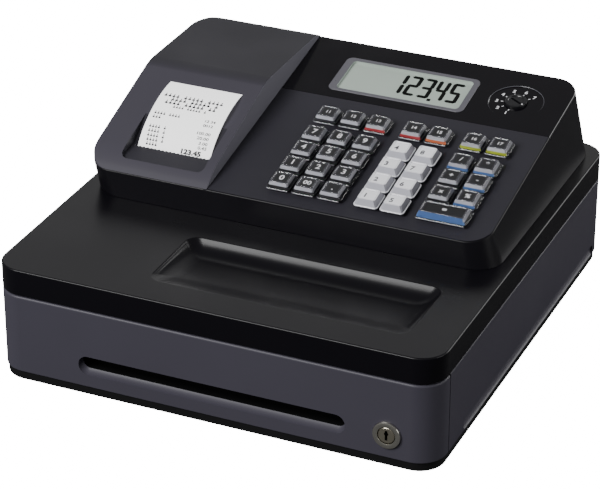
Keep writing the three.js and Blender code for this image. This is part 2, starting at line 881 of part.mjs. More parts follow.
function makeCircuitBoard() {
  const top = -plateThickness - boardDrop - seatGap;
  const [middleX, middleS] = [boardX, boardS].map(([from, to]) => (from + to) / 2);
  const geometry = new THREE.BoxGeometry(boardX[1] - boardX[0], boardS[1] - boardS[0], boardThickness);
  return geometry.translate(middleX, middleS, top - boardThickness / 2);
}

// Display panel: the gloss lid of the housing's rear part
function makeDisplayPanel() {
  const slab = common(housingBody(), panelBlock(
    [seatGap - bayRight, caseWidth], [displayStart, caseDepth], [-displayThickness, cutOver]));
  const windowX = [windowCentreX - windowWidth / 2, windowCentreX + windowWidth / 2];
  const windowS = [windowCentreS - windowLength / 2, windowCentreS + windowLength / 2];
  const opening = raised(
    roundedRect(windowX, windowS, windowCorner),
    [-displayThickness - cutOver, cutOver], arcSteps, panelFrame);
  const dish = new THREE.CylinderGeometry(
    modeDishRadius, modeDishRadius, modeDishDepth + cutOver, 2 * roundSides);
  dish.rotateX(Math.PI / 2).translate(modeCentreX, modeCentreS, (cutOver - modeDishDepth) / 2);
  const boreRadius = modeRotorRadius + seatGap;
  const boreLength = 2 * (displayThickness + cutOver);
  const bore = new THREE.CylinderGeometry(boreRadius, boreRadius, boreLength, roundSides);
  bore.rotateX(Math.PI / 2).translate(modeCentreX, modeCentreS, 0);
  return cut(slab, opening, toSolid(dish.applyMatrix4(panelFrame)), toSolid(bore.applyMatrix4(panelFrame)));
}

// Display module: flange under the panel, border in the window and the glass sunk inside the border
function makeDisplayModule() {
  const centred = (halfX, halfS, corner) => roundedRect([-halfX, halfX], [-halfS, halfS], corner);
  const halfX = windowWidth / 2 - seatGap;
  const halfS = windowLength / 2 - seatGap;
  const flangeTop = -displayThickness - seatGap;
  const flange = raised(
    centred(halfX + moduleFlange, halfS + moduleFlange, windowCorner),
    [flangeTop - moduleDepth, flangeTop]);
  const border = raised(
    centred(halfX, halfS, windowCorner - seatGap), [flangeTop - moduleDepth / 2, -bezelSink]);
  const glassX = [glassLeftMargin - halfX, halfX - glassRightMargin];
  const glassS = [glassFrontMargin - halfS, halfS - glassRearMargin];
  const pane = raised(roundedRect(glassX, glassS, windowCorner), [-glassSink, cutOver]);
  return cut(join(flange, border), pane);
}

// Mode switch rotor with its key slot and the collar that holds it under the panel
function makeModeRotor() {
  const collarTop = -displayThickness - seatGap;
  const rotor = turned([
    [0, -modeRotorReach],
    [modeRotorRadius, -modeRotorReach],
    [modeRotorRadius, collarTop - modeCollarThickness],
    [modeCollarRadius, collarTop - modeCollarThickness],
    [modeCollarRadius, collarTop],
    [modeRotorRadius, collarTop],
    [modeRotorRadius, modeRotorProud - seatGap],
    [modeRotorRadius - seatGap, modeRotorProud],
    [0, modeRotorProud],
  ]);
  const slot = block(
    [-modeSlotWidth / 2, modeSlotWidth / 2],
    [-modeSlotLength / 2, modeSlotLength / 2],
    [modeRotorProud - modeSlotDepth, modeRotorProud + cutOver]);
  return cut(toSolid(rotor), slot);
}

// Printer cover: side profile drawn in by an inset, plan drawn in by the same inset
function hoodProfile(inset) {
  const shape = new THREE.Shape();
  const front = inset - panelFront;
  const rear = panelRear - inset;
  const drop = inset / Math.cos(slopeAngle);
  const noseZ = coverTop + noseRise - drop;
  const crownZ = coverTop + crownHeight - inset;
  const fall = Math.tan(slopeAngle);
  const crownY = noseY + (crownZ - noseZ) / fall;
  const noseLead = (noseY - front) / 2;
  shape.moveTo(front, housingBottom);
  shape.lineTo(front, panelZ(front) + seatGap);
  shape.quadraticCurveTo(noseY - noseLead, noseZ - noseLead * fall, noseY, noseZ);
  shape.lineTo(crownY - crownBlend, crownZ - crownBlend * fall);
  shape.quadraticCurveTo(crownY, crownZ, crownY + crownBlend, crownZ);
  shape.lineTo(rear - crownRearReach, crownZ);
  shape.quadraticCurveTo(rear - crownRearReach * crownRearShare, crownZ, rear, panelZ(rear));
  shape.lineTo(rear, housingBottom);
  shape.closePath();
  return shape;
}

function hoodPlan(inset) {
  const corners = [hoodFrontCorner, hoodInnerCorner, hoodInnerCorner, hoodRearCorner];
  const radii = corners.map((r) => Math.max(r - inset, 0));
  return roundedRect(
    [inset - panelLeft, -bayRight - inset], [inset - panelFront, panelRear - inset], radii);
}

function hoodPrism(inset) {
  const tall = [housingBottom, farUp];
  return common(across(hoodProfile(inset), [-caseWidth, caseWidth]), raised(hoodPlan(inset), tall));
}

// The exit pocket: a floor before the cutter slot and a wall leaning back behind it
function pocketProfile(grow, front) {
  const floorAt = (y) => pocketFloor + (y - pocketFront) * tiltRise;
  const backZ = coverTop + noseRise + (pocketBack - noseY) * Math.tan(slopeAngle);
  const shape = new THREE.Shape();
  shape.moveTo(front, floorAt(front) - grow);
  shape.lineTo(slotRear + grow, floorAt(slotRear) - grow);
  shape.lineTo(pocketBack + grow, backZ);
  shape.lineTo(pocketBack + grow, farUp);
  shape.lineTo(front, farUp);
  shape.closePath();
  return shape;
}

function makePrinterCover() {
  const outer = hoodPrism(0);
  const above = panelBlock([-caseWidth, caseWidth], [-caseDepth, caseDepth], [seatGap, caseDepth]);
  const shell = cut(outer, hoodPrism(coverWall));
  const halfPaper = paperWidth / 2;
  const pocketX = [
    paperCentreX - halfPaper - pocketLeftMargin,
    paperCentreX + halfPaper + pocketRightMargin,
  ];
  const pocketWalls = common(outer, across(
    pocketProfile(coverWall, pocketFront - pocketApron), [pocketX[0] - coverWall, pocketX[1] + coverWall]));
  const radii = [pocketCorner, pocketCorner, 0, 0];
  const pocket = common(
    across(pocketProfile(0, pocketFront), pocketX),
    raised(roundedRect(pocketX, [pocketFront, caseDepth], radii), [housingBottom, farUp]));
  const tabs = [-1, 1].map((side) => {
    const middle = paperCentreX + side * tabSpread / 2;
    const back = housingWall - panelFront + seatGap;
    return block(
      [middle - tabWidth / 2, middle + tabWidth / 2],
      [back, back + tabThickness],
      [panelFrontZ - tabDrop, panelFrontZ + coverWall]);
  });
  const body = cut(join(common(shell, above), common(pocketWalls, above)), pocket, cutterSlot());
  return join(body, ...tabs);
}

// Paper slot with the saw teeth of the tear edge along its front
function cutterSlot() {
  const teeth = Math.floor(paperWidth / toothPitch) + 1;
  const reach = teeth * toothPitch / 2;
  const shape = new THREE.Shape();
  shape.moveTo(paperCentreX - reach, slotRear);
  for (let i = 0; i < teeth; i += 1) {
    const x = paperCentreX - reach + i * toothPitch;
    shape.lineTo(x, slotFront);
    shape.lineTo(x + toothPitch / 2, slotFront + toothDepth);
  }
  shape.lineTo(paperCentreX + reach, slotFront);
  shape.lineTo(paperCentreX + reach, slotRear);
  shape.closePath();
  return raised(shape, [bayFloor + cheekHeight, coverTop + noseRise]);
}

// Drawer front: the grey face with its corner returns, finger slot and the pocket behind the slot
const trayFrontY = caseWall - halfDepth + fingerPocketDepth + fingerPocketWall + seatGap;

function makeDrawerFront() {
  const tall = [shellBottom - cutOver, shellTop + cutOver];
  const outer = raised(caseOutline(0), [shellBottom, shellTop]);
  const inner = raised(caseOutline(caseWall), tall);
  const behind = block([-caseWidth, caseWidth], [returnY, caseDepth], tall);
  const face = cut(outer, inner, behind);
  const faceBack = caseWall - halfDepth;
  const slotHalf = lockX - fingerSlotLockGap;
  const slotZ = [shellBottom + fingerSlotRise, shellBottom + fingerSlotRise + fingerSlotHeight];
  const pocketTop = slotZ[1] + fingerPocketHeadroom;
  const box = block(
    [-slotHalf - fingerPocketWall, slotHalf + fingerPocketWall],
    [faceBack - caseWall / 2, faceBack + fingerPocketDepth + fingerPocketWall],
    [slotZ[0] - fingerPocketWall, pocketTop + fingerPocketWall]);
  const hollow = across(
    scoopProfile(faceBack, faceBack + fingerPocketDepth, slotZ[0], pocketTop),
    [-slotHalf, slotHalf], fingerScoopSteps);
  const mouth = roundedRect([-slotHalf, slotHalf], slotZ, fingerSlotHeight / 2 - seatGap);
  const opening = backward(mouth, [-halfDepth - cutOver, faceBack + cutOver]);
  const lockHole = roundHoleBack(barrelRadius + seatGap);
  return cut(join(face, box), hollow, opening, lockHole);
}

// The pocket's profile: a floor that curves up into the back
function scoopProfile(front, back, floor, top) {
  const shape = new THREE.Shape();
  shape.moveTo(front, floor);
  shape.lineTo(back - fingerScoop, floor);
  shape.quadraticCurveTo(back, floor, back, floor + fingerScoop);
  shape.lineTo(back, top);
  shape.lineTo(front, top);
  shape.closePath();
  return shape;
}

const lockX = halfWidth - lockInset;
const lockZ = shellBottom + lockRise;

function roundHoleBack(radius) {
  const bore = new THREE.CylinderGeometry(radius, radius, 2 * (caseWall + cutOver), roundSides);
  return toSolid(bore.translate(lockX, -halfDepth, lockZ));
}

// Drawer tray: floor, walls with an outward lip, one cross partition and two bill dividers
const trayOuterX = halfWidth - caseWall - drawerSideGap;
const trayRearY = halfDepth - caseWall - drawerRearGap;
const trayTop = shellBottom + trayHeight;
const partitionY = trayFrontY + trayWall + coinBayLength;

function makeDrawerTray() {
  const body = block([-trayOuterX, trayOuterX], [trayFrontY, trayRearY], [shellBottom, trayTop]);
  const inner = trayOuterX - trayWall;
  const coinBay = block(
    [-inner, inner], [trayFrontY + trayWall, partitionY], [shellBottom + trayFloor, trayTop + cutOver]);
  const billBay = block(
    [-inner, inner],
    [partitionY + trayWall, trayRearY - trayWall],
    [shellBottom + trayFloor, trayTop + cutOver]);
  const dividers = billDividerPlaces().map((x) => block(
    [x - trayWall / 2, x + trayWall / 2],
    [partitionY + trayWall / 2, trayRearY - trayWall / 2],
    [shellBottom + trayFloor / 2, shellBottom + partitionHeight]));
  const lipOuter = halfWidth - caseWall - seatGap;
  const lips = [-1, 1].map((side) => {
    const x = [side * (trayOuterX - trayWall / 2), side * lipOuter].sort((a, b) => a - b);
    return block(x, [returnY + seatGap, trayRearY - trayWall], [trayTop - trayWall, trayTop]);
  });
  const posts = billClipPlaces().flatMap((x) => clipPosts(x));
  const lowered = block(
    [-inner, inner], [partitionY - cutOver, partitionY + trayWall + cutOver],
    [shellBottom + partitionHeight, trayTop + cutOver]);
  return join(cut(body, coinBay, billBay, lowered), ...dividers, ...lips, ...posts);
}

const billWidth = (2 * (trayOuterX - trayWall)) / billBays;
const billDividerPlaces = () => [-billWidth / 2, billWidth / 2];
const billClipPlaces = () => [-billWidth, 0, billWidth];
const clipPivotY = trayRearY - trayWall - clipPivotInset;
const clipPivotZ = trayTop - clipPivotDrop;

function clipPosts(x) {
  const inside = clipWidth / 2 + seatGap;
  const cheeks = [-1, 1].map((side) => {
    const span = [x + side * inside, x + side * (inside + clipPostThickness)].sort((a, b) => a - b);
    const half = clipBarrelRadius;
    const rear = trayRearY - trayWall / 2;
    return block(span, [clipPivotY - half, rear], [clipPivotZ - half, clipPivotZ + half]);
  });
  const pin = new THREE.CylinderGeometry(
    clipPinRadius, clipPinRadius, 2 * inside + clipPostThickness, roundSides / 2);
  return [...cheeks, toSolid(pin.rotateZ(Math.PI / 2).translate(x, clipPivotY, clipPivotZ))];
}

// Bill clip: barrel on the pin, a flat arm down to the tray floor and a rolled tip
function makeBillClip(x) {
  const fall = clipPivotZ - (shellBottom + trayFloor + seatGap + clipTipRadius);
  const slant = Math.asin(fall / clipArmLength);
  const tip = new THREE.Vector2(-clipArmLength * Math.cos(slant), -fall);
  const span = [x - clipWidth / 2, x + clipWidth / 2];
  const rod = (radius, y, z) => {
    const cylinder = new THREE.CylinderGeometry(radius, radius, clipWidth, roundSides);
    return toSolid(cylinder.rotateZ(Math.PI / 2).translate(x, clipPivotY + y, clipPivotZ + z));
  };
  const pivot = new THREE.Vector2(clipPivotY, clipPivotZ);
  const arm = across(ribbon([pivot, pivot.clone().add(tip)], clipArmThickness), span);
  const bore = new THREE.CylinderGeometry(
    clipPinRadius + seatGap, clipPinRadius + seatGap, clipWidth + cutOver, roundSides);
  const hole = toSolid(bore.rotateZ(Math.PI / 2).translate(x, clipPivotY, clipPivotZ));
  return cut(join(rod(clipBarrelRadius, 0, 0), arm, rod(clipTipRadius, tip.x, tip.y)), hole);
}

// Coin insert: one moulding with two rows of scooped cups
function makeCoinInsert() {
  const x = [trayWall + seatGap - trayOuterX, trayOuterX - trayWall - seatGap];
  const y = [trayFrontY + trayWall + seatGap, partitionY - seatGap];
  const bottom = shellBottom + trayFloor + seatGap;
  const top = bottom + insertHeight;
  const cupWidth = (x[1] - x[0] - insertWall * (cupColumns + 1)) / cupColumns;
  const cupLength = (y[1] - y[0] - insertWall * (cupRows + 1)) / cupRows;
  const cups = [];
  for (let row = 0; row < cupRows; row += 1) {
    const front = y[0] + insertWall + row * (cupLength + insertWall);
    for (let column = 0; column < cupColumns; column += 1) {
      const left = x[0] + insertWall + column * (cupWidth + insertWall);
      cups.push(across(cupProfile(front, front + cupLength, bottom + insertFloor, top + cutOver),
        [left, left + cupWidth], cupScoopSteps));
    }
  }
  return cut(block(x, y, [bottom, top]), ...cups);
}

function cupProfile(front, rear, floor, top) {
  const shape = new THREE.Shape();
  shape.moveTo(front, top);
  shape.lineTo(front, floor + cupScoop);
  shape.quadraticCurveTo(front, floor, front + cupScoop, floor);
  shape.lineTo(rear - cupScoop, floor);
  shape.quadraticCurveTo(rear, floor, rear, floor + cupScoop);
  shape.lineTo(rear, top);
  shape.closePath();
  return shape;
}

// Drawer lock: bezel with its barrel through the face, and the plug with its cam
const lockFrame = new THREE.Matrix4().makeRotationX(Math.PI / 2).setPosition(lockX, -halfDepth, lockZ);

function makeLockBezel() {
  const boreRadius = plugRadius + seatGap;
  return turned([
    [boreRadius, -barrelReach],
    [barrelRadius, -barrelReach],
    [barrelRadius, seatGap],
    [bezelRadius, seatGap],
    [bezelRadius, bezelProud - seatGap],
    [bezelRadius - seatGap, bezelProud],
    [boreRadius + seatGap, bezelProud],
    [boreRadius, bezelProud - seatGap],
    [boreRadius, -barrelReach],
  ]).applyMatrix4(lockFrame);
}

function makeLockPlug() {
  const back = -barrelReach - seatGap;
  const plug = turned([
    [0, back - camThickness], [plugRadius, back - camThickness],
    [plugRadius, bezelProud - plugSink], [0, bezelProud - plugSink],
  ]);
  const turn = new THREE.Matrix4().makeRotationZ(camRestTurn);
  const cam = block(
    [-camWidth / 2, camWidth / 2], [-camWidth / 2, camReach], [back - camThickness, back], turn);
  const slot = block(
    [-plugSlotWidth / 2, plugSlotWidth / 2],
    [-plugSlotLength / 2, plugSlotLength / 2],
    [bezelProud - plugSink - plugSlotDepth, bezelProud + cutOver]);
  return cut(join(toSolid(plug), cam), slot);
}

// Assembly
place('base_pan', toGeometry(makeBasePan()), finishes.pan);
const footShape = footGeometry();
footPlaces().forEach(([x, y], i) => {
  const name = ['foot_front_left', 'foot_front_right', 'foot_rear_left', 'foot_rear_right'][i];
  place(name, footShape, finishes.rubber).position.set(x, y, 0);
});
place('case_shell', toGeometry(makeCaseShell()), finishes.body);
place('top_cover', toGeometry(makeTopCover()), finishes.cover);
place('upper_housing', toGeometry(makeUpperHousing()), finishes.housing);
place('display_panel', toGeometry(makeDisplayPanel()), finishes.display);

const moduleMesh = place('display_module', toGeometry(makeDisplayModule()), finishes.module, panelGroup);
moduleMesh.position.set(windowCentreX, windowCentreS, 0);
place('circuit_board', makeCircuitBoard(), finishes.board, panelGroup);
const rotorMesh = place('mode_rotor', toGeometry(makeModeRotor()), finishes.rotor, panelGroup);
rotorMesh.position.set(modeCentreX, modeCentreS, 0);

const singleKey = keyGeometry(0);
const doubleKey = keyGeometry(keyPitch);
keyPlaces().forEach(({ name, x, s, tone, wide }) => {
  place(name, wide ? doubleKey : singleKey, finishes[tone], panelGroup).position.set(x, s, 0);
});

place('printer_cover', toGeometry(makePrinterCover()), finishes.hood);
place('receipt_slip', toGeometry(makeReceipt()), finishes.paper);
place('printer_frame', toGeometry(makePrinterFrame()), finishes.mechanism);
place('platen_roller', makePlaten(), finishes.platen).position.set(paperCentreX, platenY, platenHeight);
place('paper_roll', makePaperRoll(), finishes.paper).position.set(paperCentreX, rollCentreY, rollCentreZ);
place('paper_web', toGeometry(makePaperWeb()), finishes.paper);

place('drawer_front', toGeometry(makeDrawerFront()), finishes.body);
place('drawer_tray', toGeometry(makeDrawerTray()), finishes.drawer);
place('coin_insert', toGeometry(makeCoinInsert()), finishes.insert);
billClipPlaces().forEach((x, i) => {
  place(`bill_clip_${i + 1}`, toGeometry(makeBillClip(x)), finishes.clip);
});
place('lock_bezel', makeLockBezel(), finishes.chrome);
place('lock_plug', toGeometry(makeLockPlug()).applyMatrix4(lockFrame), finishes.brass);

// The lock stands proud in front and the feet below, so the whole is lifted and moved back to centre it
object.position.set(0, bezelProud / 2, footDrop);

export default object;
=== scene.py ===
"""Dressed model of the ticket register: a compact electronic till on its cash drawer.

Every size is in millimetres of the part's own drawing: X to the right seen from the front,
-Y to the front, Z up from the underside of the base pan. A finished piece is brought into the
row frame, in metres, when it leaves the shaping class.
"""

from __future__ import annotations

import logging
import math
from dataclasses import dataclass, field
from enum import Enum
from typing import Callable, Iterable, Optional, Sequence

import bmesh
import bpy
from mathutils import Matrix, Vector


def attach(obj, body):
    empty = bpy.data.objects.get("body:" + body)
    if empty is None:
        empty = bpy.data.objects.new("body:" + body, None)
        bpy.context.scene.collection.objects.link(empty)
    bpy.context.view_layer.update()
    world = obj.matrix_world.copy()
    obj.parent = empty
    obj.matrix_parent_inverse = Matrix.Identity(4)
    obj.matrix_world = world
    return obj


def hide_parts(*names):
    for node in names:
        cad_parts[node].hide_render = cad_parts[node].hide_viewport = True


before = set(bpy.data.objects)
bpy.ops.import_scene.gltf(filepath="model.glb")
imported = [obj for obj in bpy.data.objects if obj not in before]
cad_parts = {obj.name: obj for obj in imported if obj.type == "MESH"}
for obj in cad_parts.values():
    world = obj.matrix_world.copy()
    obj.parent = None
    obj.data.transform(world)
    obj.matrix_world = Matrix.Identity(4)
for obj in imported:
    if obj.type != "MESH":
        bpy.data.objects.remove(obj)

LOG = logging.getLogger("ticket_register")
Span = tuple[float, float]
Colour = tuple[float, float, float]

# From the part's drawing in millimetres to the row frame in metres
TO_ROW = Matrix.Scale(0.001, 4) @ Matrix.Translation((0.0, 1.0, 2.0))

# Clearance between pieces, how far a cutter runs past what it cuts, and a reach past the whole part
GAP = 0.3
CUT_OVER = 2.0
FAR = 400.0

# Segments of a round and of a figure's curves, and the height kept between outlines while they are bridged
ROUND_STEPS = 10
FIGURE_STEPS = 3
LOFT_SPREAD = 500.0

# What counts as one place, one flat face and one level, and the merging distance in metres
MERGE = 0.0002
SPIN_MERGE = 0.0005
ROW_MERGE = 1e-7
FLAT_TURN = math.radians(0.05)
LEVEL_SLACK = 0.01

# The least reach of an edge that runs in a direction, and what is left at the end of a curve
LEAST_RUN = 1.0
END_SLACK = 0.001

# The share of a noise's range that is used, and the least roughness
NOISE_SPAN = (0.3, 0.7)
LEAST_ROUGHNESS = 0.01

# The tilted plane of keyboard and display
TILT = math.radians(10.6)
PANEL_FRONT = -46.0
PANEL_FRONT_Z = 105.4
PANEL = Matrix.Translation((0.0, PANEL_FRONT, PANEL_FRONT_Z)) @ Matrix.Rotation(TILT, 4, "X")


def panel_z(y: float) -> float:
    """Height of the tilted keyboard plane above a place in depth."""
    return PANEL_FRONT_Z + (y - PANEL_FRONT) * math.tan(TILT)


def srgb(red: int, green: int, blue: int) -> Colour:
    """Linear colour of a screen colour given as 0 to 255.

    Args:
        red: Red, 0 to 255.
        green: Green, 0 to 255.
        blue: Blue, 0 to 255.

    Returns:
        The three linear shares.
    """
    def linear(value: int) -> float:
        """Linear share of one channel."""
        share = value / 255.0
        return share / 12.92 if share <= 0.04045 else ((share + 0.055) / 1.055) ** 2.4

    return linear(red), linear(green), linear(blue)


class Axis(Enum):
    """Direction in which a rod lies."""

    X = "X"
    Y = "Y"
    Z = "Z"


class Body(Enum):
    """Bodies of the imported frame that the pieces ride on."""

    CASE = "case"
    DRAWER = "drawer"
    PRINTER_COVER = "printer_cover"
    PAPER_ROLL = "paper_roll"
    PLATEN = "platen"
    MODE_ROTOR = "mode_rotor"
    LOCK_PLUG = "lock_plug"


# Shader groups shared by the finishes


def group_base(name: str, inputs: Sequence[tuple[str, str, float]], outputs: Sequence[str]) -> bpy.types.NodeTree:
    """Start a shader group.

    Args:
        name: Name of the group.
        inputs: Socket name, socket type and starting value of each input.
        outputs: Names of the value outputs.

    Returns:
        The group with its input and output nodes, named "in" and "out".
    """
    tree = bpy.data.node_groups.new(name, "ShaderNodeTree")
    for socket, kind, value in inputs:
        made = tree.interface.new_socket(name=socket, in_out="INPUT", socket_type=kind)
        if kind == "NodeSocketFloat":
            made.default_value = value
    for socket in outputs:
        tree.interface.new_socket(name=socket, in_out="OUTPUT", socket_type="NodeSocketFloat")
    tree.nodes.new("NodeGroupInput").name = "in"
    tree.nodes.new("NodeGroupOutput").name = "out"
    return tree


def moulded_grain_group() -> bpy.types.NodeTree:
    """Fine spark-eroded grain of a moulded face, with slow drifts of gloss over it.

    Returns:
        The group, with a height and a mask of the drifts.
    """
    tree = group_base(
        "moulded_grain",
        [
            ("Vector", "NodeSocketVector", 0.0), ("Grain", "NodeSocketFloat", 2500.0),
            ("Drift", "NodeSocketFloat", 14.0)],
        ["Height", "Drift mask"],
    )
    source, target = tree.nodes["in"], tree.nodes["out"]
    fine = tree.nodes.new("ShaderNodeTexNoise")
    fine.inputs["Detail"].default_value = 3.0
    fine.inputs["Roughness"].default_value = 0.6
    slow = tree.nodes.new("ShaderNodeTexNoise")
    slow.inputs["Detail"].default_value = 2.0
    for node, scale in ((fine, "Grain"), (slow, "Drift")):
        tree.links.new(source.outputs["Vector"], node.inputs["Vector"])
        tree.links.new(source.outputs[scale], node.inputs["Scale"])
    tree.links.new(fine.outputs["Fac"], target.inputs["Height"])
    tree.links.new(slow.outputs["Fac"], target.inputs["Drift mask"])
    return tree


def fine_scratch_group() -> bpy.types.NodeTree:
    """Hair lines and faint smudges of a polished face.

    Returns:
        The group, with a height and a mask of the smudges.
    """
    tree = group_base(
        "fine_scratch",
        [
            ("Vector", "NodeSocketVector", 0.0), ("Length", "NodeSocketFloat", 60.0),
            ("Density", "NodeSocketFloat", 900.0)],
        ["Height", "Smudge"],
    )
    source, target = tree.nodes["in"], tree.nodes["out"]
    stretch = tree.nodes.new("ShaderNodeVectorMath")
    stretch.operation = "MULTIPLY"
    join = tree.nodes.new("ShaderNodeCombineXYZ")
    tree.links.new(source.outputs["Length"], join.inputs["X"])
    tree.links.new(source.outputs["Density"], join.inputs["Y"])
    tree.links.new(source.outputs["Density"], join.inputs["Z"])
    tree.links.new(source.outputs["Vector"], stretch.inputs[0])
    tree.links.new(join.outputs["Vector"], stretch.inputs[1])
    lines = tree.nodes.new("ShaderNodeTexNoise")
    lines.inputs["Scale"].default_value = 1.0
    tree.links.new(stretch.outputs["Vector"], lines.inputs["Vector"])
    smudge = tree.nodes.new("ShaderNodeTexNoise")
    smudge.inputs["Scale"].default_value = 30.0
    smudge.inputs["Detail"].default_value = 4.0
    tree.links.new(source.outputs["Vector"], smudge.inputs["Vector"])
    tree.links.new(lines.outputs["Fac"], target.inputs["Height"])
    tree.links.new(smudge.outputs["Fac"], target.inputs["Smudge"])
    return tree


GROUPS: dict[str, bpy.types.NodeTree] = {}


def shared_group(name: str, maker: Callable[[], bpy.types.NodeTree]) -> bpy.types.NodeTree:
    """The shader group of that name, made the first time it is asked for.

    Args:
        name: Name of the group.
        maker: What makes it.

    Returns:
        The group.
    """
    if name not in GROUPS:
        GROUPS[name] = maker()
    return GROUPS[name]


class NodeBench:
    """A material being wired up."""

    def __init__(self, name: str) -> None:
        """Start a material with a Principled shader.

        Args:
            name: Name of the material.
        """
        self.material = bpy.data.materials.new(name)
        self.material.use_nodes = True
        self.tree = self.material.node_tree
        self.shader = self.tree.nodes["Principled BSDF"]

    def node(self, kind: str, **values: float) -> bpy.types.Node:
        """Add a node and set its input values by name.

        Args:
            kind: Type name of the node.
            values: Input values, a low line for each space.

        Returns:
            The node.
        """
        made = self.tree.nodes.new(kind)
        for key, value in values.items():
            made.inputs[key.replace("_", " ")].default_value = value
        return made

    def link(self, output: bpy.types.NodeSocket, target: bpy.types.NodeSocket) -> None:
        """Join two sockets."""
        self.tree.links.new(output, target)

    def place(self) -> bpy.types.NodeSocket:
        """Object coordinates."""
        return self.node("ShaderNodeTexCoord").outputs["Object"]

    def grouped(self, tree: bpy.types.NodeTree, **values: float) -> bpy.types.Node:
        """Add a shared group that reads object coordinates.

        Args:
            tree: The group.
            values: Input values by name.

        Returns:
            The group's node.
        """
        made = self.tree.nodes.new("ShaderNodeGroup")
        made.node_tree = tree
        for key, value in values.items():
            made.inputs[key].default_value = value
        self.link(self.place(), made.inputs["Vector"])
        return made

    def spread(self, mask: bpy.types.NodeSocket, low: float, high: float, target: bpy.types.NodeSocket) -> None:
        """Send a mask to a socket, stretched from low to high.

        Args:
            mask: The mask.
            low: Value at its low end.
            high: Value at its high end.
            target: The socket that takes the value.
        """
        ramp = self.node(
            "ShaderNodeMapRange", From_Min=NOISE_SPAN[0], From_Max=NOISE_SPAN[1], To_Min=low, To_Max=high)
        self.link(mask, ramp.inputs["Value"])
        self.link(ramp.outputs["Result"], target)

    def tint(self, mask: bpy.types.NodeSocket, first: Colour, second: Colour, target: bpy.types.NodeSocket) -> None:
        """Mix two colours by a mask.

        Args:
            mask: The mask.
            first: Colour where it is nought.
            second: Colour where it is one.
            target: The socket that takes the colour.
        """
        mix = self.tree.nodes.new("ShaderNodeMix")
        mix.data_type = "RGBA"
        mix.inputs["A"].default_value = (*first, 1.0)
        mix.inputs["B"].default_value = (*second, 1.0)
        self.link(mask, mix.inputs["Factor"])
        self.link(mix.outputs["Result"], target)

    def facing_up(self, least: float) -> bpy.types.NodeSocket:
        """A mask that rises to one where the surface is level, in the piece's own directions.

        Args:
            least: Share of the upward direction at which the mask begins.

        Returns:
            The mask.
        """
        parts = self.node("ShaderNodeSeparateXYZ")
        self.link(self.node("ShaderNodeTexCoord").outputs["Normal"], parts.inputs["Vector"])
        share = self.node("ShaderNodeMapRange", From_Min=least, From_Max=1.0)
        self.link(parts.outputs["Z"], share.inputs["Value"])
        return share.outputs["Result"]

    def relief(self, height: bpy.types.NodeSocket, strength: float, distance: float) -> None:
        """Turn a height into the surface normal.

        Args:
            height: The height.
            strength: How strongly it shows.
            distance: Its depth in metres.
        """
        bump = self.node("ShaderNodeBump", Strength=strength, Distance=distance)
        self.link(height, bump.inputs["Height"])
        self.link(bump.outputs["Normal"], self.shader.inputs["Normal"])


@dataclass(frozen=True)
class Moulding:
    """Moulded plastic or rubber with a grained face."""

    name: str
    colour: Colour
    roughness: float
    grain: float = 2500.0
    relief: float = 0.25
    drift: float = 0.04
    specular: float = 0.5
    sheen_of_colour: float = 1.12
    relief_depth: float = 0.00006
    # glow: white emission, a painted glow on a surface that is no lamp
    glow: float = 0.0
    # crown, with the facing at which it starts: a darker colour painted on level faces as painted shade on the top
    crown: Optional[Colour] = None
    painted_top_shade_from: float = 0.95

    def build(self) -> bpy.types.Material:
        """Make the material.

        Returns:
            The material.
        """
        bench = NodeBench(self.name)
        grain = bench.grouped(shared_group("moulded_grain", moulded_grain_group), Grain=self.grain)
        # Without a crown colour the tone drifts at random; with one, level faces take it as painted shade
        if self.crown is None:
            mask, second = grain.outputs["Drift mask"], tuple(value * self.sheen_of_colour for value in self.colour)
        else:
            mask, second = bench.facing_up(self.painted_top_shade_from), self.crown
        bench.tint(mask, self.colour, second, bench.shader.inputs["Base Color"])
        bench.spread(
            grain.outputs["Drift mask"], self.roughness - self.drift, self.roughness + self.drift,
            bench.shader.inputs["Roughness"])
        bench.relief(grain.outputs["Height"], self.relief, self.relief_depth)
        bench.shader.inputs["Specular IOR Level"].default_value = self.specular
        # Emission paints a glow where glow is set
        bench.shader.inputs["Emission Color"].default_value = (1.0, 1.0, 1.0, 1.0)
        bench.shader.inputs["Emission Strength"].default_value = self.glow
        return bench.material


@dataclass(frozen=True)
class Polished:
    """Polished plastic or plated metal with hair lines."""

    name: str
    colour: Colour
    roughness: float
    metallic: float = 0.0
    relief: float = 0.04
    smudge: float = 0.03
    coat: float = 0.0
    coat_roughness: float = 0.04
    specular: float = 0.5
    smudge_shade: float = 0.9
    relief_depth: float = 0.00003

    def build(self) -> bpy.types.Material:
        """Make the material.

        Returns:
            The material.
        """
        bench = NodeBench(self.name)
        marks = bench.grouped(shared_group("fine_scratch", fine_scratch_group))
        darker = tuple(value * self.smudge_shade for value in self.colour)
        bench.tint(marks.outputs["Smudge"], darker, self.colour, bench.shader.inputs["Base Color"])
        bench.spread(
            marks.outputs["Smudge"], max(self.roughness - self.smudge, LEAST_ROUGHNESS),
            self.roughness + self.smudge, bench.shader.inputs["Roughness"])
        bench.relief(marks.outputs["Height"], self.relief, self.relief_depth)
        bench.shader.inputs["Metallic"].default_value = self.metallic
        bench.shader.inputs["Coat Weight"].default_value = self.coat
        bench.shader.inputs["Coat Roughness"].default_value = self.coat_roughness
        bench.shader.inputs["Specular IOR Level"].default_value = self.specular
        return bench.material


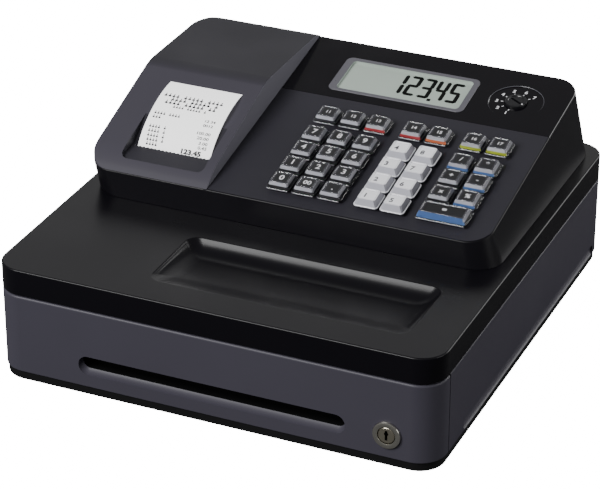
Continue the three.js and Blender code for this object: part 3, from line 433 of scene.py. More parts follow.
@dataclass(frozen=True)
class ClearCap:
    """Clear moulded acrylic of the key caps."""

    name: str
    colour: Colour = (0.96, 0.97, 0.98)
    roughness: float = 0.05
    smudge_share: float = 0.5
    ior: float = 1.49

    def build(self) -> bpy.types.Material:
        """Make the material.

        Returns:
            The material.
        """
        bench = NodeBench(self.name)
        marks = bench.grouped(shared_group("fine_scratch", fine_scratch_group))
        bench.spread(
            marks.outputs["Smudge"], self.roughness * (1.0 - self.smudge_share),
            self.roughness * (1.0 + self.smudge_share), bench.shader.inputs["Roughness"])
        bench.shader.inputs["Base Color"].default_value = (*self.colour, 1.0)
        bench.shader.inputs["Transmission Weight"].default_value = 1.0
        bench.shader.inputs["IOR"].default_value = self.ior
        return bench.material


class Finishes:
    """Every finish of the register, made once."""

    def __init__(self) -> None:
        """Make the materials."""
        made = [
            Moulding("pan_black", srgb(18, 18, 19), 0.6, specular=0.15),
            Moulding("foot_rubber", srgb(20, 20, 20), 0.85, grain=900.0, relief=0.5),
            Moulding("case_grey", srgb(60, 58, 67), 0.42, relief=0.3, specular=0.25),
            Moulding("cover_black", srgb(12, 11, 15), 0.29, relief=0.1, drift=0.02, specular=0.2),
            Moulding("band_black", srgb(13, 12, 16), 0.25, relief=0.04, specular=0.1),
            Moulding("housing_black", srgb(14, 13, 17), 0.34, relief=0.2, specular=0.14),
            # plate_grey_and_painted_sheen: the keyboard plate's matte grey with painted sheen, given to the housing's
            # up-facing faces
            Moulding("plate_grey_and_painted_sheen", srgb(44, 43, 49), 0.4, relief=0.2, specular=0.14),
            # hood_grey: its level top takes a darker colour as painted shade
            Moulding("hood_grey", srgb(64, 62, 70), 0.42, relief=0.3, specular=0.2, crown=srgb(39, 38, 44)),
            # Hood flank and edge line: lighter greys painted on the hood's right side as painted reflection and on its
            # rounded upper edge as painted highlight
            Moulding("hood_flank_painted_reflection", srgb(96, 95, 103), 0.45, relief=0.3, specular=0.2),
            Moulding("hood_edge_painted_highlight", srgb(120, 119, 127), 0.4, relief=0.1, specular=0.3),
            # dish_rim: a lighter grey painted on the dish's rim wall as painted highlight
            Moulding("dish_rim", srgb(84, 84, 90), 0.3, relief=0.02, specular=0.3),
            # hood_recess_painted_shade: a darker grey painted in the exit pocket as painted shade
            Moulding("hood_recess_painted_shade", srgb(44, 43, 49), 0.45, relief=0.3, specular=0.2),
            # slot_painted_shade: near-black painted inside the finger slot and the key slot as painted shade
            Moulding("slot_painted_shade", srgb(8, 8, 9), 0.7, specular=0.1),
            Moulding("tray_plastic", srgb(32, 32, 35), 0.55),
            Moulding("insert_plastic", srgb(44, 44, 48), 0.5),
            Moulding("clip_plastic", srgb(50, 50, 54), 0.45),
            Moulding("frame_plastic", srgb(40, 40, 43), 0.55),
            Moulding("platen_rubber", srgb(30, 30, 31), 0.8, grain=1200.0),
            Moulding("board_green", srgb(44, 92, 58), 0.5, grain=700.0),
            Moulding("label_black", srgb(22, 22, 25), 0.35, relief=0.02),
            Moulding("label_white", srgb(232, 232, 236), 0.5, relief=0.02),
            # carrier_painted_light and carrier_painted_half_light: lit and half-lit copies of the insert, painted on
            # its front and right side as painted light
            Moulding("carrier_painted_light", srgb(214, 214, 222), 0.4, relief=0.02),
            Moulding("carrier_painted_half_light", srgb(150, 150, 158), 0.4, relief=0.02),
            Moulding("carrier_dark", srgb(38, 38, 44), 0.4, relief=0.02),
            Moulding("carrier_top", srgb(74, 74, 82), 0.4, relief=0.02),
            # flange_painted_highlight: a pale band painted round the clear flange as painted highlight
            Moulding("flange_painted_highlight", srgb(172, 172, 180), 0.4, relief=0.02),
            Polished("cap_white", srgb(228, 228, 233), 0.25, coat=0.5),
            # cap_white_painted_shade and cap_white_painted_deep_shade: darker copies of the white cap painted on its
            # flange, front and right side as painted shade
            Polished("cap_white_painted_shade", srgb(180, 180, 189), 0.25, coat=0.5),
            Polished("cap_white_painted_deep_shade", srgb(128, 128, 136), 0.25, coat=0.5),
            Moulding("strip_red", srgb(196, 52, 60), 0.4, relief=0.02),
            Moulding("strip_orange", srgb(226, 118, 62), 0.4, relief=0.02),
            Moulding("strip_green", srgb(190, 204, 52), 0.4, relief=0.02),
            Moulding("strip_blue", srgb(88, 128, 190), 0.4, relief=0.02),
            Moulding("print_white", srgb(225, 225, 228), 0.5, relief=0.02),
            Moulding("print_grey", srgb(66, 66, 72), 0.5, relief=0.02),
            Moulding("segment_black", srgb(5, 6, 5), 0.5, relief=0.02, specular=0.1),
            Polished("gloss_black", srgb(12, 10, 15), 0.1, specular=0.4),
            Polished("display_glass", srgb(170, 182, 173), 0.3, coat=0.2),
            Polished("display_border", srgb(92, 91, 98), 0.3),
            Polished("switch_black", srgb(20, 20, 23), 0.28),
            Polished("plated_bezel", srgb(214, 211, 202), 0.2, metallic=1.0, relief=0.08),
            Polished("plated_plug", srgb(196, 190, 172), 0.32, metallic=1.0, relief=0.1),
            ClearCap("cap_clear"),
            Moulding("roll_paper", srgb(246, 246, 246), 0.75, grain=1800.0, relief=0.1, sheen_of_colour=1.0),
            # receipt_paper_painted_glow: white paper with a painted glow that brightens it beyond its lighting
            Moulding(
                "receipt_paper_painted_glow", srgb(252, 252, 252), 0.75, grain=1800.0, relief=0.1, sheen_of_colour=1.0,
                glow=0.75),
            Moulding("receipt_ink", srgb(26, 26, 30), 0.7, relief=0.0),
        ]
        self.materials = {finish.name: finish.build() for finish in made}

    def __getitem__(self, name: str) -> bpy.types.Material:
        """The material of a finish by its name."""
        return self.materials[name]


# Shaping


@dataclass
class Outline:
    """A rectangle in plan with a radius for each corner: front left, front right, rear right, rear left."""

    x: Span
    y: Span
    radii: Sequence[float]
    height: Callable[[float, float], float]

    def edges(self, bm: bmesh.types.BMesh, steps: int, lift: float) -> list[bmesh.types.BMEdge]:
        """Draw the outline as one level face.

        Args:
            bm: The mesh to draw in.
            steps: Segments of each rounded corner.
            lift: Height at which it is drawn.

        Returns:
            The edges round the face.
        """
        before = set(bm.edges)
        places = [(self.x[0], self.y[0]), (self.x[1], self.y[0]), (self.x[1], self.y[1]), (self.x[0], self.y[1])]
        corners = [bm.verts.new((x, y, lift)) for x, y in places]
        bm.faces.new(corners)
        for corner, radius in zip(corners, self.radii):
            if radius > 0.0:
                bmesh.ops.bevel(
                    bm, geom=[corner], offset=radius, offset_type="OFFSET", segments=steps, profile=0.5,
                    affect="VERTICES", material=-1)
        return [edge for edge in bm.edges if edge not in before]


def level(z: float) -> Callable[[float, float], float]:
    """A height that is the same all over."""
    return lambda x, y: z


def even_outline(x: Span, y: Span, corner: float, z: float) -> Outline:
    """A level outline with the same radius at each corner."""
    return Outline(x, y, [corner] * 4, level(z))


class Form:
    """A solid being shaped, in millimetres of the part's drawing."""

    def __init__(self) -> None:
        """Start with nothing."""
        self.bm = bmesh.new()

    @classmethod
    def block(cls, x: Span, y: Span, z: Span, frame_matrix: Optional[Matrix] = None) -> "Form":
        """A box between two corners, turned into another frame when one is given.

        Args:
            x: Reach in X.
            y: Reach in Y.
            z: Reach in Z.
            frame_matrix: The other frame.

        Returns:
            The box.
        """
        form = cls()
        size = (x[1] - x[0], y[1] - y[0], z[1] - z[0])
        middle = ((x[0] + x[1]) / 2, (y[0] + y[1]) / 2, (z[0] + z[1]) / 2)
        bmesh.ops.create_cube(form.bm, size=1.0)
        bmesh.ops.scale(form.bm, vec=size, verts=form.bm.verts)
        bmesh.ops.translate(form.bm, vec=middle, verts=form.bm.verts)
        if frame_matrix is not None:
            form.bm.transform(frame_matrix)
        return form

    @classmethod
    def rod(cls, axis: Axis, centre: Sequence[float], radius: float, length: float, sides: int = 32) -> "Form":
        """A round bar of a length about its centre, along an axis.

        Args:
            axis: The axis.
            centre: Its middle.
            radius: Its radius.
            length: Its length.
            sides: Flats round it.

        Returns:
            The bar.
        """
        form = cls()
        bmesh.ops.create_cone(
            form.bm, cap_ends=True, segments=sides, radius1=radius, radius2=radius, depth=length)
        if axis is Axis.X:
            form.bm.transform(Matrix.Rotation(math.pi / 2, 4, "Y"))
        elif axis is Axis.Y:
            form.bm.transform(Matrix.Rotation(math.pi / 2, 4, "X"))
        bmesh.ops.translate(form.bm, vec=centre, verts=form.bm.verts)
        return form

    @classmethod
    def loft(cls, outlines: Sequence[Outline], steps: int = ROUND_STEPS) -> "Form":
        """A closed skin over outlines, from the lowest to the highest.

        Args:
            outlines: The outlines, upwards.
            steps: Segments of each rounded corner.

        Returns:
            The closed solid.
        """
        form = cls()
        loops = [outline.edges(form.bm, steps, number * LOFT_SPREAD) for number, outline in enumerate(outlines)]
        inner = [loop[0].link_faces[0] for loop in loops[1:-1]]
        bmesh.ops.delete(form.bm, geom=inner, context="FACES_ONLY")
        for low, high in zip(loops, loops[1:]):
            bmesh.ops.bridge_loops(form.bm, edges=low + high)
        for outline, loop in zip(outlines, loops):
            for vert in {vert for edge in loop for vert in edge.verts}:
                vert.co.z = outline.height(vert.co.x, vert.co.y)
        bmesh.ops.recalc_face_normals(form.bm, faces=form.bm.faces)
        return form

    @classmethod
    def prism(
        cls, points: Sequence[tuple[float, float]], span: Span, axis: Axis = Axis.X,
        rounds: Optional[dict[int, float]] = None, steps: int = ROUND_STEPS,
    ) -> "Form":
        """A profile run along an axis.

        Args:
            points: The profile's corners: Y and Z along X, X and Z along Y, X and Y along Z.
            span: Where the run starts and ends.
            axis: The direction of the run.
            rounds: Corner number to the length that its round takes from each side.
            steps: Segments of each round.

        Returns:
            The closed prism.
        """
        form = cls()

        def corner(a: float, b: float) -> Vector:
            """A corner of the profile at the start of the run.

            Args:
                a: First measure of the corner.
                b: Second measure of the corner.

            Returns:
                Its place.
            """
            if axis is Axis.X:
                return Vector((span[0], a, b))
            if axis is Axis.Y:
                return Vector((a, span[0], b))
            return Vector((a, b, span[0]))

        corners = [form.bm.verts.new(corner(a, b)) for a, b in points]
        form.bm.faces.new(corners)
        for number, reach in (rounds or {}).items():
            bmesh.ops.bevel(
                form.bm, geom=[corners[number]], offset=reach, offset_type="OFFSET", segments=steps, profile=0.5,
                affect="VERTICES", material=-1)
        run = {Axis.X: (1, 0, 0), Axis.Y: (0, 1, 0), Axis.Z: (0, 0, 1)}[axis]
        made = bmesh.ops.extrude_face_region(form.bm, geom=list(form.bm.faces))
        moved = [item for item in made["geom"] if isinstance(item, bmesh.types.BMVert)]
        bmesh.ops.translate(form.bm, vec=Vector(run) * (span[1] - span[0]), verts=moved)
        bmesh.ops.recalc_face_normals(form.bm, faces=form.bm.faces)
        return form

    @classmethod
    def turned(cls, profile: Sequence[tuple[float, float]], sides: int = 48) -> "Form":
        """A profile of radius and height spun about Z.

        Args:
            profile: Radius and height of each point.
            sides: Flats round it.

        Returns:
            The closed solid.
        """
        form = cls()
        verts = [form.bm.verts.new((radius, 0.0, height)) for radius, height in profile]
        edges = [form.bm.edges.new(pair) for pair in zip(verts, verts[1:])]
        bmesh.ops.spin(
            form.bm, geom=verts + edges, cent=(0, 0, 0), axis=(0, 0, 1), angle=2 * math.pi, steps=sides,
            use_merge=True)
        bmesh.ops.remove_doubles(form.bm, verts=form.bm.verts, dist=SPIN_MERGE)
        bmesh.ops.recalc_face_normals(form.bm, faces=form.bm.faces)
        return form

    @classmethod
    def lettering(cls, text: str, size: float, thickness: float = 0.05, weight: float = 0.0) -> "Form":
        """Plain figures, centred on the origin and facing up, their strokes widened by a weight.

        Args:
            text: The figures.
            size: Their size.
            thickness: How thick they stand.
            weight: How much each stroke is widened.

        Returns:
            The figures.
        """
        curve = bpy.data.curves.new("figure", "FONT")
        curve.body = text
        curve.size = size
        curve.extrude = thickness / 2
        curve.offset = weight
        curve.align_x = "CENTER"
        curve.align_y = "CENTER"
        curve.resolution_u = FIGURE_STEPS
        made = bpy.data.objects.new("figure", curve)
        bpy.context.scene.collection.objects.link(made)
        form = cls()
        mesh = bpy.data.meshes.new_from_object(made.evaluated_get(bpy.context.evaluated_depsgraph_get()))
        form.bm.from_mesh(mesh)
        bpy.data.objects.remove(made)
        bpy.data.curves.remove(curve)
        bpy.data.meshes.remove(mesh)
        return form

    def moved(self, matrix: Matrix) -> "Form":
        """Turn or shift the form."""
        self.bm.transform(matrix)
        return self

    def painted(self, index: int) -> "Form":
        """Give every face one of the piece's finishes.

        Args:
            index: Number of the finish.

        Returns:
            The form.
        """
        for face in self.bm.faces:
            face.material_index = index
        return self

    def tinted(self, index: int, pick: Callable[[bmesh.types.BMFace], bool]) -> "Form":
        """Give the faces that a test picks one of the piece's finishes.

        Args:
            index: Number of the finish.
            pick: The test.

        Returns:
            The form.
        """
        for face in self.bm.faces:
            if pick(face):
                face.material_index = index
        return self

    def softened(self, pick: Callable[[bmesh.types.BMEdge], bool], width: float, segments: int = 3) -> "Form":
        """Round the edges that a test picks.

        Args:
            pick: The test.
            width: Width of the round.
            segments: Steps across it.

        Returns:
            The form.
        """
        edges = [edge for edge in self.bm.edges if pick(edge)]
        bmesh.ops.bevel(
            self.bm, geom=edges, offset=width, offset_type="OFFSET", segments=segments, profile=0.5,
            affect="EDGES", clamp_overlap=True, material=-1)
        return self

    def _object(self, name: str) -> bpy.types.Object:
        """A passing object that holds the form in triangles.

        Args:
            name: Its name.

        Returns:
            The object.
        """
        bmesh.ops.triangulate(self.bm, faces=list(self.bm.faces))
        mesh = bpy.data.meshes.new(name)
        self.bm.to_mesh(mesh)
        made = bpy.data.objects.new(name, mesh)
        bpy.context.scene.collection.objects.link(made)
        return made

    def _combine(self, operation: str, tools: Iterable["Form"]) -> "Form":
        """Join, cut or keep by other forms.

        Args:
            operation: What is done with the tools.
            tools: The other forms.

        Returns:
            The form.
        """
        host = self._object("host")
        cutters = []
        for tool in tools:
            bmesh.ops.recalc_face_normals(tool.bm, faces=tool.bm.faces)
            cutters.append(tool._object("cutter"))
        for cutter in cutters:
            modifier = host.modifiers.new("combine", "BOOLEAN")
            modifier.solver = "EXACT"
            modifier.operation = operation
            modifier.object = cutter
        bpy.context.view_layer.update()
        evaluated = host.evaluated_get(bpy.context.evaluated_depsgraph_get())
        mesh = bpy.data.meshes.new_from_object(evaluated)
        self.bm.clear()
        self.bm.from_mesh(mesh)
        bpy.data.meshes.remove(mesh)
        bmesh.ops.remove_doubles(self.bm, verts=self.bm.verts, dist=MERGE)
        bmesh.ops.dissolve_limit(
            self.bm, angle_limit=FLAT_TURN, use_dissolve_boundaries=False, verts=self.bm.verts,
            edges=self.bm.edges, delimit={"MATERIAL"})
        for made in [host, *cutters]:
            spent = made.data
            bpy.data.objects.remove(made)
            bpy.data.meshes.remove(spent)
        return self

    def cut(self, *tools: "Form") -> "Form":
        """Take the tools away."""
        return self._combine("DIFFERENCE", tools)

    def joined(self, *tools: "Form") -> "Form":
        """Weld the tools on."""
        return self._combine("UNION", tools)

    def kept(self, *tools: "Form") -> "Form":
        """Keep what lies inside the tools."""
        return self._combine("INTERSECT", tools)

    def with_loose(self, *others: "Form") -> "Form":
        """Add other forms to the same piece without welding them.

        Args:
            others: The other forms.

        Returns:
            The form.
        """
        for other in others:
            mesh = bpy.data.meshes.new("loose")
            other.bm.to_mesh(mesh)
            self.bm.from_mesh(mesh)
            bpy.data.meshes.remove(mesh)
        return self

    def piece(
        self, name: str, finishes: Sequence[bpy.types.Material], body: str, slot: str,
        replaces: Sequence[str] = (), sharp: float = 32.0,
    ) -> bpy.types.Object:
        """Bring the form into the row frame as a finished piece.

        Args:
            name: Name of the piece.
            finishes: Its materials, by face index.
            body: The body that it rides on.
            slot: The record's material slot; not used.
            replaces: CAD nodes that it stands for.
            sharp: Angle in degrees past which an edge stays sharp.

        Returns:
            The finished object.
        """
        self.bm.transform(TO_ROW)
        bmesh.ops.remove_doubles(self.bm, verts=self.bm.verts, dist=ROW_MERGE)
        bmesh.ops.dissolve_degenerate(self.bm, edges=self.bm.edges, dist=ROW_MERGE)
        mesh = bpy.data.meshes.new(name)
        self.bm.to_mesh(mesh)
        self.bm.free()
        for material in finishes:
            mesh.materials.append(material)
        mesh.shade_smooth()
        mesh.set_sharp_from_angle(angle=math.radians(sharp))
        made = bpy.data.objects.new(name, mesh)
        bpy.context.scene.collection.objects.link(made)
        weighted = made.modifiers.new("even_shading", "WEIGHTED_NORMAL")
        weighted.keep_sharp = True
        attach(made, body)
        if replaces:
            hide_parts(*replaces)
        LOG.info("%s: %d faces on %s", name, len(mesh.polygons), body)
        return made


def edge_turn(edge: bmesh.types.BMEdge) -> float:
    """Angle in degrees between the two faces of an edge."""
    return math.degrees(edge.calc_face_angle(0.0))


def edge_reach(edge: bmesh.types.BMEdge, axis: Axis) -> float:
    """How far an edge reaches along an axis."""
    number = list(Axis).index(axis)
    return abs(edge.verts[0].co[number] - edge.verts[1].co[number])


def on_level(z: float) -> Callable[[bmesh.types.BMEdge], bool]:
    """A test for edges that lie on a level."""
    return lambda edge: all(abs(vert.co.z - z) < LEVEL_SLACK for vert in edge.verts)


def face_height(face: bmesh.types.BMFace) -> float:
    """Height of a face's middle."""
    return face.calc_center_median().z


# Sub-assemblies


@dataclass
class CaseBase:
    """Base pan, grey shell and the black top cover."""

    half_width: float = 163.0
    half_depth: float = 172.5
    corner: float = 19.5
    wall: float = 3.0
    pan_inset: float = 1.0
    pan_top: float = 6.2
    pan_wall: float = 2.2
    pan_edge: float = 0.8
    rail: float = 9.0
    rail_spread: float = 105.0
    shell_z: Span = (6.5, 66.5)
    shell_front: float = -149.7
    shell_edges: tuple[float, float] = (0.6, 1.0)
    groove_y: Span = (-122.0, 150.0)
    groove_z: Span = (7.3, 14.8)
    groove_round: float = 3.5
    groove_curve: tuple[tuple[float, float], ...] = (
        (0.0, 7.3), (0.6, 7.9), (1.2, 8.9), (1.75, 10.2), (2.2, 11.7), (2.5, 13.2), (2.65, 14.8))
    rib_z: Span = (52.8, 56.8)
    rib_depth: float = 6.0
    rib_play: float = 0.01
    rib_end: float = 150.5
    gland: tuple[float, float] = (115.0, 28.5)
    gland_boss: tuple[float, float, float] = (166.75, 8.0, 8.5)
    gland_bore: tuple[float, float, float] = (168.0, 3.6, 20.0)
    cover_z: Span = (66.8, 86.0)
    cover_edge: float = 1.2
    cover_foot: float = 0.5
    band_facing: float = 0.3
    skin: float = 3.0
    tray_x: Span = (-57.0, 131.0)
    tray_y: Span = (-147.0, -79.5)
    tray_corner: float = 9.0
    tray_depth: Span = (0.8, 10.0)
    tray_fillet: float = 20.0
    tray_lean: float = math.radians(55.0)
    tray_rim: float = 1.0
    tray_flare: float = 0.9
    tray_pinch: float = 0.45
    well_x: Span = (-132.85, -68.75)
    well_y: Span = (10.5, 128.3)
    strike_x: Span = (122.3, 134.3)
    strike_y: Span = (-162.2, -159.2)

    def plan(self, inset: float, z: float) -> Outline:
        """The case outline drawn in by an inset.

        Args:
            inset: How far it is drawn in.
            z: Its level.

        Returns:
            The outline.
        """
        radius = self.corner - inset
        return even_outline(
            (inset - self.half_width, self.half_width - inset),
            (inset - self.half_depth, self.half_depth - inset), radius, z)

    def prism(self, inset: float, z: Span) -> Form:
        """The case outline raised between two levels."""
        return Form.loft([self.plan(inset, z[0]), self.plan(inset, z[1])])

    def pan(self, finishes: Finishes) -> bpy.types.Object:
        """The base pan with its two rails.

        Args:
            finishes: The register's finishes.

        Returns:
            The finished piece.
        """
        form = self.prism(self.pan_inset, (0.0, self.pan_top)).softened(on_level(0.0), self.pan_edge)
        form.cut(self.prism(self.pan_inset + self.pan_wall, (self.pan_wall, self.pan_top + CUT_OVER)))
        end = self.half_depth - self.corner
        rails = [
            Form.block((side * self.rail_spread - self.rail / 2, side * self.rail_spread + self.rail / 2),
                       (-end, end), (self.pan_wall / 2, self.pan_top)) for side in (-1, 1)]
        form.joined(*rails)
        return form.piece("pan", [finishes["pan_black"]], Body.CASE.value, "pan", ["base_pan"])

    def shell(self, finishes: Finishes) -> bpy.types.Object:
        """The grey side walls and back.

        Args:
            finishes: The register's finishes.

        Returns:
            The finished piece.
        """
        form = self.prism(0.0, self.shell_z)
        form.softened(on_level(self.shell_z[0]), self.shell_edges[0])
        form.softened(on_level(self.shell_z[1]), self.shell_edges[1], 4)
        low, high = self.shell_z[0] - CUT_OVER, self.shell_z[1] + CUT_OVER
        form.cut(self.prism(self.wall, (low, high)))
        form.cut(Form.block((-FAR, FAR), (-FAR, self.shell_front), (low, high)))
        grooves, ribs = [], []
        for side in (-1, 1):
            outer = side * (self.half_width + CUT_OVER)
            inner = side * (self.half_width - self.wall)
            span = Form.block((min(outer, inner), max(outer, inner)), self.groove_y, self.groove_z)
            span.softened(lambda edge: edge_reach(edge, Axis.X) > LEAST_RUN, self.groove_round, 6)
            foot, head = self.groove_z[0] - CUT_OVER, self.groove_z[1] + CUT_OVER
            face = side * self.half_width
            curve = [(face - side * depth, z) for depth, z in self.groove_curve]
            slope = Form.prism(
                [(outer, foot), (face, foot), *curve, (curve[-1][0], head), (outer, head)], (-FAR, FAR), Axis.Y)
            grooves.append(slope.kept(span))
            near = side * (self.half_width - self.wall / 2)
            far = side * (self.half_width - self.wall - self.rib_depth)
            ribs.append(Form.block(
                (min(near, far), max(near, far)), (self.shell_front + self.rib_play, self.rib_end), self.rib_z))
        form.joined(*ribs)
        form.cut(*grooves)
        x, z = self.gland
        middle, radius, length = self.gland_boss
        form.joined(Form.rod(Axis.Y, (x, middle, z), radius, length))
        middle, radius, length = self.gland_bore
        form.cut(Form.rod(Axis.Y, (x, middle, z), radius, length))
        return form.piece("shell", [finishes["case_grey"]], Body.CASE.value, "body", ["case_shell"])

    def tray_depth_at(self, y: float) -> float:
        """How deep the change tray is at a place in depth."""
        share = min(max((y - self.tray_y[0]) / (self.tray_y[1] - self.tray_y[0]), 0.0), 1.0)
        return self.tray_depth[0] + share * (self.tray_depth[1] - self.tray_depth[0])

    def tray_profile(self, steps: int = 8) -> list[tuple[float, float]]:
        """The tray wall from floor to rim: how far out and how high, where the tray is deepest.

        Args:
            steps: Segments of each of the two curves.

        Returns:
            The points, from the floor up.
        """
        turns = [number / steps * self.tray_lean for number in range(steps + 1)]
        foot = [(self.tray_fillet * math.sin(turn), self.tray_fillet * (1 - math.cos(turn))) for turn in turns]
        rim = [(self.tray_rim * math.sin(turn), self.tray_rim * (1 - math.cos(turn))) for turn in turns]
        rise = self.tray_depth[1] - foot[-1][1] - rim[-1][1]
        out = foot[-1][0] + rise / math.tan(self.tray_lean) + rim[-1][0]
        return foot + [(out - across, self.tray_depth[1] - down) for across, down in reversed(rim)]

    def tray_hollow(self) -> Form:
        """The hollow of the change tray: a floor that curves up into a leaning wall with a round rim.

        Returns:
            The hollow, to cut with.
        """
        profile = self.tray_profile()
        widest = profile[-1][0]
        outlines = []
        for out, up in profile + [(widest, self.tray_depth[1])]:
            inset = widest - out - self.tray_flare
            outlines.append(Outline(
                (self.tray_x[0] + inset, self.tray_x[1] - inset), (self.tray_y[0] + inset, self.tray_y[1] - inset),
                [self.tray_corner - inset * self.tray_pinch] * 4,
                lambda x, y, up=up: self.cover_z[1] - self.tray_depth_at(y) * (1 - up / self.tray_depth[1])))
        outlines[-1].height = level(self.cover_z[1] + CUT_OVER)
        return Form.loft(outlines)

    def cover(self, finishes: Finishes) -> bpy.types.Object:
        """The black top cover with rim band, change tray and paper well.

        Args:
            finishes: The register's finishes.

        Returns:
            The finished piece.
        """
        form = self.prism(0.0, self.cover_z).softened(on_level(self.cover_z[1]), self.cover_edge, 4)
        form.softened(on_level(self.cover_z[0]), self.cover_foot, 2)
        form.tinted(1, lambda face: abs(face.normal.z) < self.band_facing)
        form.cut(self.prism(self.wall, (self.cover_z[0] - CUT_OVER, self.cover_z[1] - self.skin)))
        floor = Outline(
            (self.tray_x[0] - self.skin, self.tray_x[1] + self.skin),
            (self.tray_y[0] - self.skin, self.tray_y[1] + self.skin), [self.tray_corner + self.skin] * 4,
            lambda x, y: self.cover_z[1] - self.tray_depth_at(y) - self.skin)
        top = Outline(floor.x, floor.y, floor.radii, level(self.cover_z[1] - self.skin / 2))
        strike = Form.block(self.strike_x, self.strike_y, (self.rib_z[0], self.cover_z[1] - self.skin / 2))
        form.joined(Form.loft([floor, top]), strike)
        form.cut(self.tray_hollow())
        form.cut(Form.block(self.well_x, self.well_y, (self.cover_z[0], self.cover_z[1] + CUT_OVER)))
        return form.piece(
            "cover", [finishes["cover_black"], finishes["band_black"]], Body.CASE.value, "cover", ["top_cover"])


@dataclass
class UpperHousing:
    """The black wedge that carries keyboard, display and printer."""

    foot_x: Span = (-154.3, 154.0)
    foot_y: Span = (-48.0, 166.0)
    foot_radii: tuple[float, float, float, float] = (25.0, 20.0, 20.0, 20.0)
    top_x: Span = (-156.0, 146.5)
    top_y: Span = (-46.0, 154.7)
    top_radii: tuple[float, float, float, float] = (16.0, 18.0, 18.0, 27.0)
    bottom: float = 86.3
    wall: float = 2.5
    plate: float = 3.0
    edge: float = 1.0
    inner_corner: float = 1.5
    snug: float = 0.1
    # Facing of the faces that take the plate's matte grey with painted sheen
    plate_and_sheen_facing: float = 0.96
    stem_hole: tuple[float, float] = (5.8, 4.8)
    stem_reach: float = 6.0
    bay_right: float = -61.0
    display_start: float = 131.8
    display_thickness: float = 2.6
    ledge: float = 4.0
    ledge_depth: float = 3.0
    window_x: Span = (-27.45, 75.25)
    window_s: Span = (142.0, 182.0)
    window_corner: float = 3.5
    dish: tuple[float, float] = (109.3, 165.7)
    dish_radius: float = 20.0
    dish_depth: float = 0.8
    dish_rim: float = 0.3
    dish_foot: float = 0.4
    bore_reach: float = 12.0
    rotor_bore: float = 8.5

    def lofted(self, inset: float, rise: float) -> Form:
        """The housing's outer form, drawn in by an inset, its top moved along the plane's normal.

        Args:
            inset: How far it is drawn in.
            rise: How far its top is moved.

        Returns:
            The solid.
        """
        foot = Outline(
            (self.foot_x[0] + inset, self.foot_x[1] - inset), (self.foot_y[0] + inset, self.foot_y[1] - inset),
            [radius - inset for radius in self.foot_radii], level(self.bottom - (CUT_OVER if inset else 0.0)))
        top = Outline(
            (self.top_x[0] + inset, self.top_x[1] - inset), (self.top_y[0] + inset, self.top_y[1] - inset),
            [radius - inset for radius in self.top_radii], lambda x, y: panel_z(y) + rise / math.cos(TILT))
        return Form.loft([foot, top])

    def outer(self) -> Form:
        """The outer form with its round upper edge.

        Returns:
            The solid.
        """
        def on_plane(edge: bmesh.types.BMEdge) -> bool:
            """Whether an edge lies on the tilted plane."""
            return all(abs(vert.co.z - panel_z(vert.co.y)) < LEVEL_SLACK for vert in edge.verts)

        return self.lofted(0.0, 0.0).softened(on_plane, self.edge, 4)

    def panel_block(self, x: Span, s: Span, n: Span) -> Form:
        """A box in the frame of the tilted plane."""
        return Form.block(x, s, n, PANEL)

    def key_holes(self, places: Sequence["KeyPlace"]) -> Form:
        """The holes for the key stems, as one tool.

        Args:
            places: The keys.

        Returns:
            The tool.
        """
        tool = Form()
        for place in places:
            half_x, half_s = self.stem_hole[0] + place.extra / 2, self.stem_hole[1]
            tool.with_loose(self.panel_block(
                (place.x - half_x, place.x + half_x), (place.s - half_s, place.s + half_s),
                (-self.stem_reach, CUT_OVER)))
        return tool

    def housing(self, finishes: Finishes, places: Sequence["KeyPlace"]) -> bpy.types.Object:
        """The shell with the printer bay, the seat of the display panel and the key holes.

        Args:
            finishes: The register's finishes.
            places: The keys.

        Returns:
            The finished piece.
        """
        form = self.outer()
        form.cut(self.lofted(self.wall, -self.plate))
        bay_inner = self.bay_right - self.wall
        inset = self.wall
        bay = Outline(
            (self.foot_x[0] + inset, bay_inner), (self.top_y[0] + inset, self.top_y[1] - inset),
            [self.foot_radii[0] - inset, self.inner_corner, self.inner_corner, self.top_radii[3] - inset],
            level(self.bottom))
        form.cut(Form.loft([bay, Outline(bay.x, bay.y, bay.radii, level(FAR))]))
        front = (self.display_start + self.ledge) * math.cos(TILT) + PANEL_FRONT
        seat = Outline(
            (self.bay_right, self.top_x[1] - inset), (front, self.top_y[1] - inset),
            [self.inner_corner, self.inner_corner, self.top_radii[2] - inset, self.inner_corner],
            level(self.bottom))
        form.cut(Form.loft([seat, Outline(seat.x, seat.y, seat.radii, level(FAR))]))
        partition = self.lofted(self.snug, -self.snug).kept(
            Form.block((bay_inner, self.bay_right), (-FAR, FAR), (self.bottom, FAR)))
        sink = -self.display_thickness - GAP
        ledge = self.lofted(self.snug, -self.snug).kept(self.panel_block(
            (self.bay_right - self.wall / 2, FAR),
            (self.display_start - self.ledge, self.display_start + self.ledge),
            (sink - self.ledge_depth, sink + GAP)))
        form.joined(partition, ledge)
        form.cut(self.panel_block((self.bay_right, FAR), (self.display_start - GAP, FAR), (sink, FAR)))
        # Up-facing faces take the plate's matte grey with painted sheen on top
        form.cut(self.key_holes(places)).tinted(1, lambda face: face.normal.z > self.plate_and_sheen_facing)
        return form.piece(
            "housing", [finishes["housing_black"], finishes["plate_grey_and_painted_sheen"]], Body.CASE.value, "housing",
            ["upper_housing"])

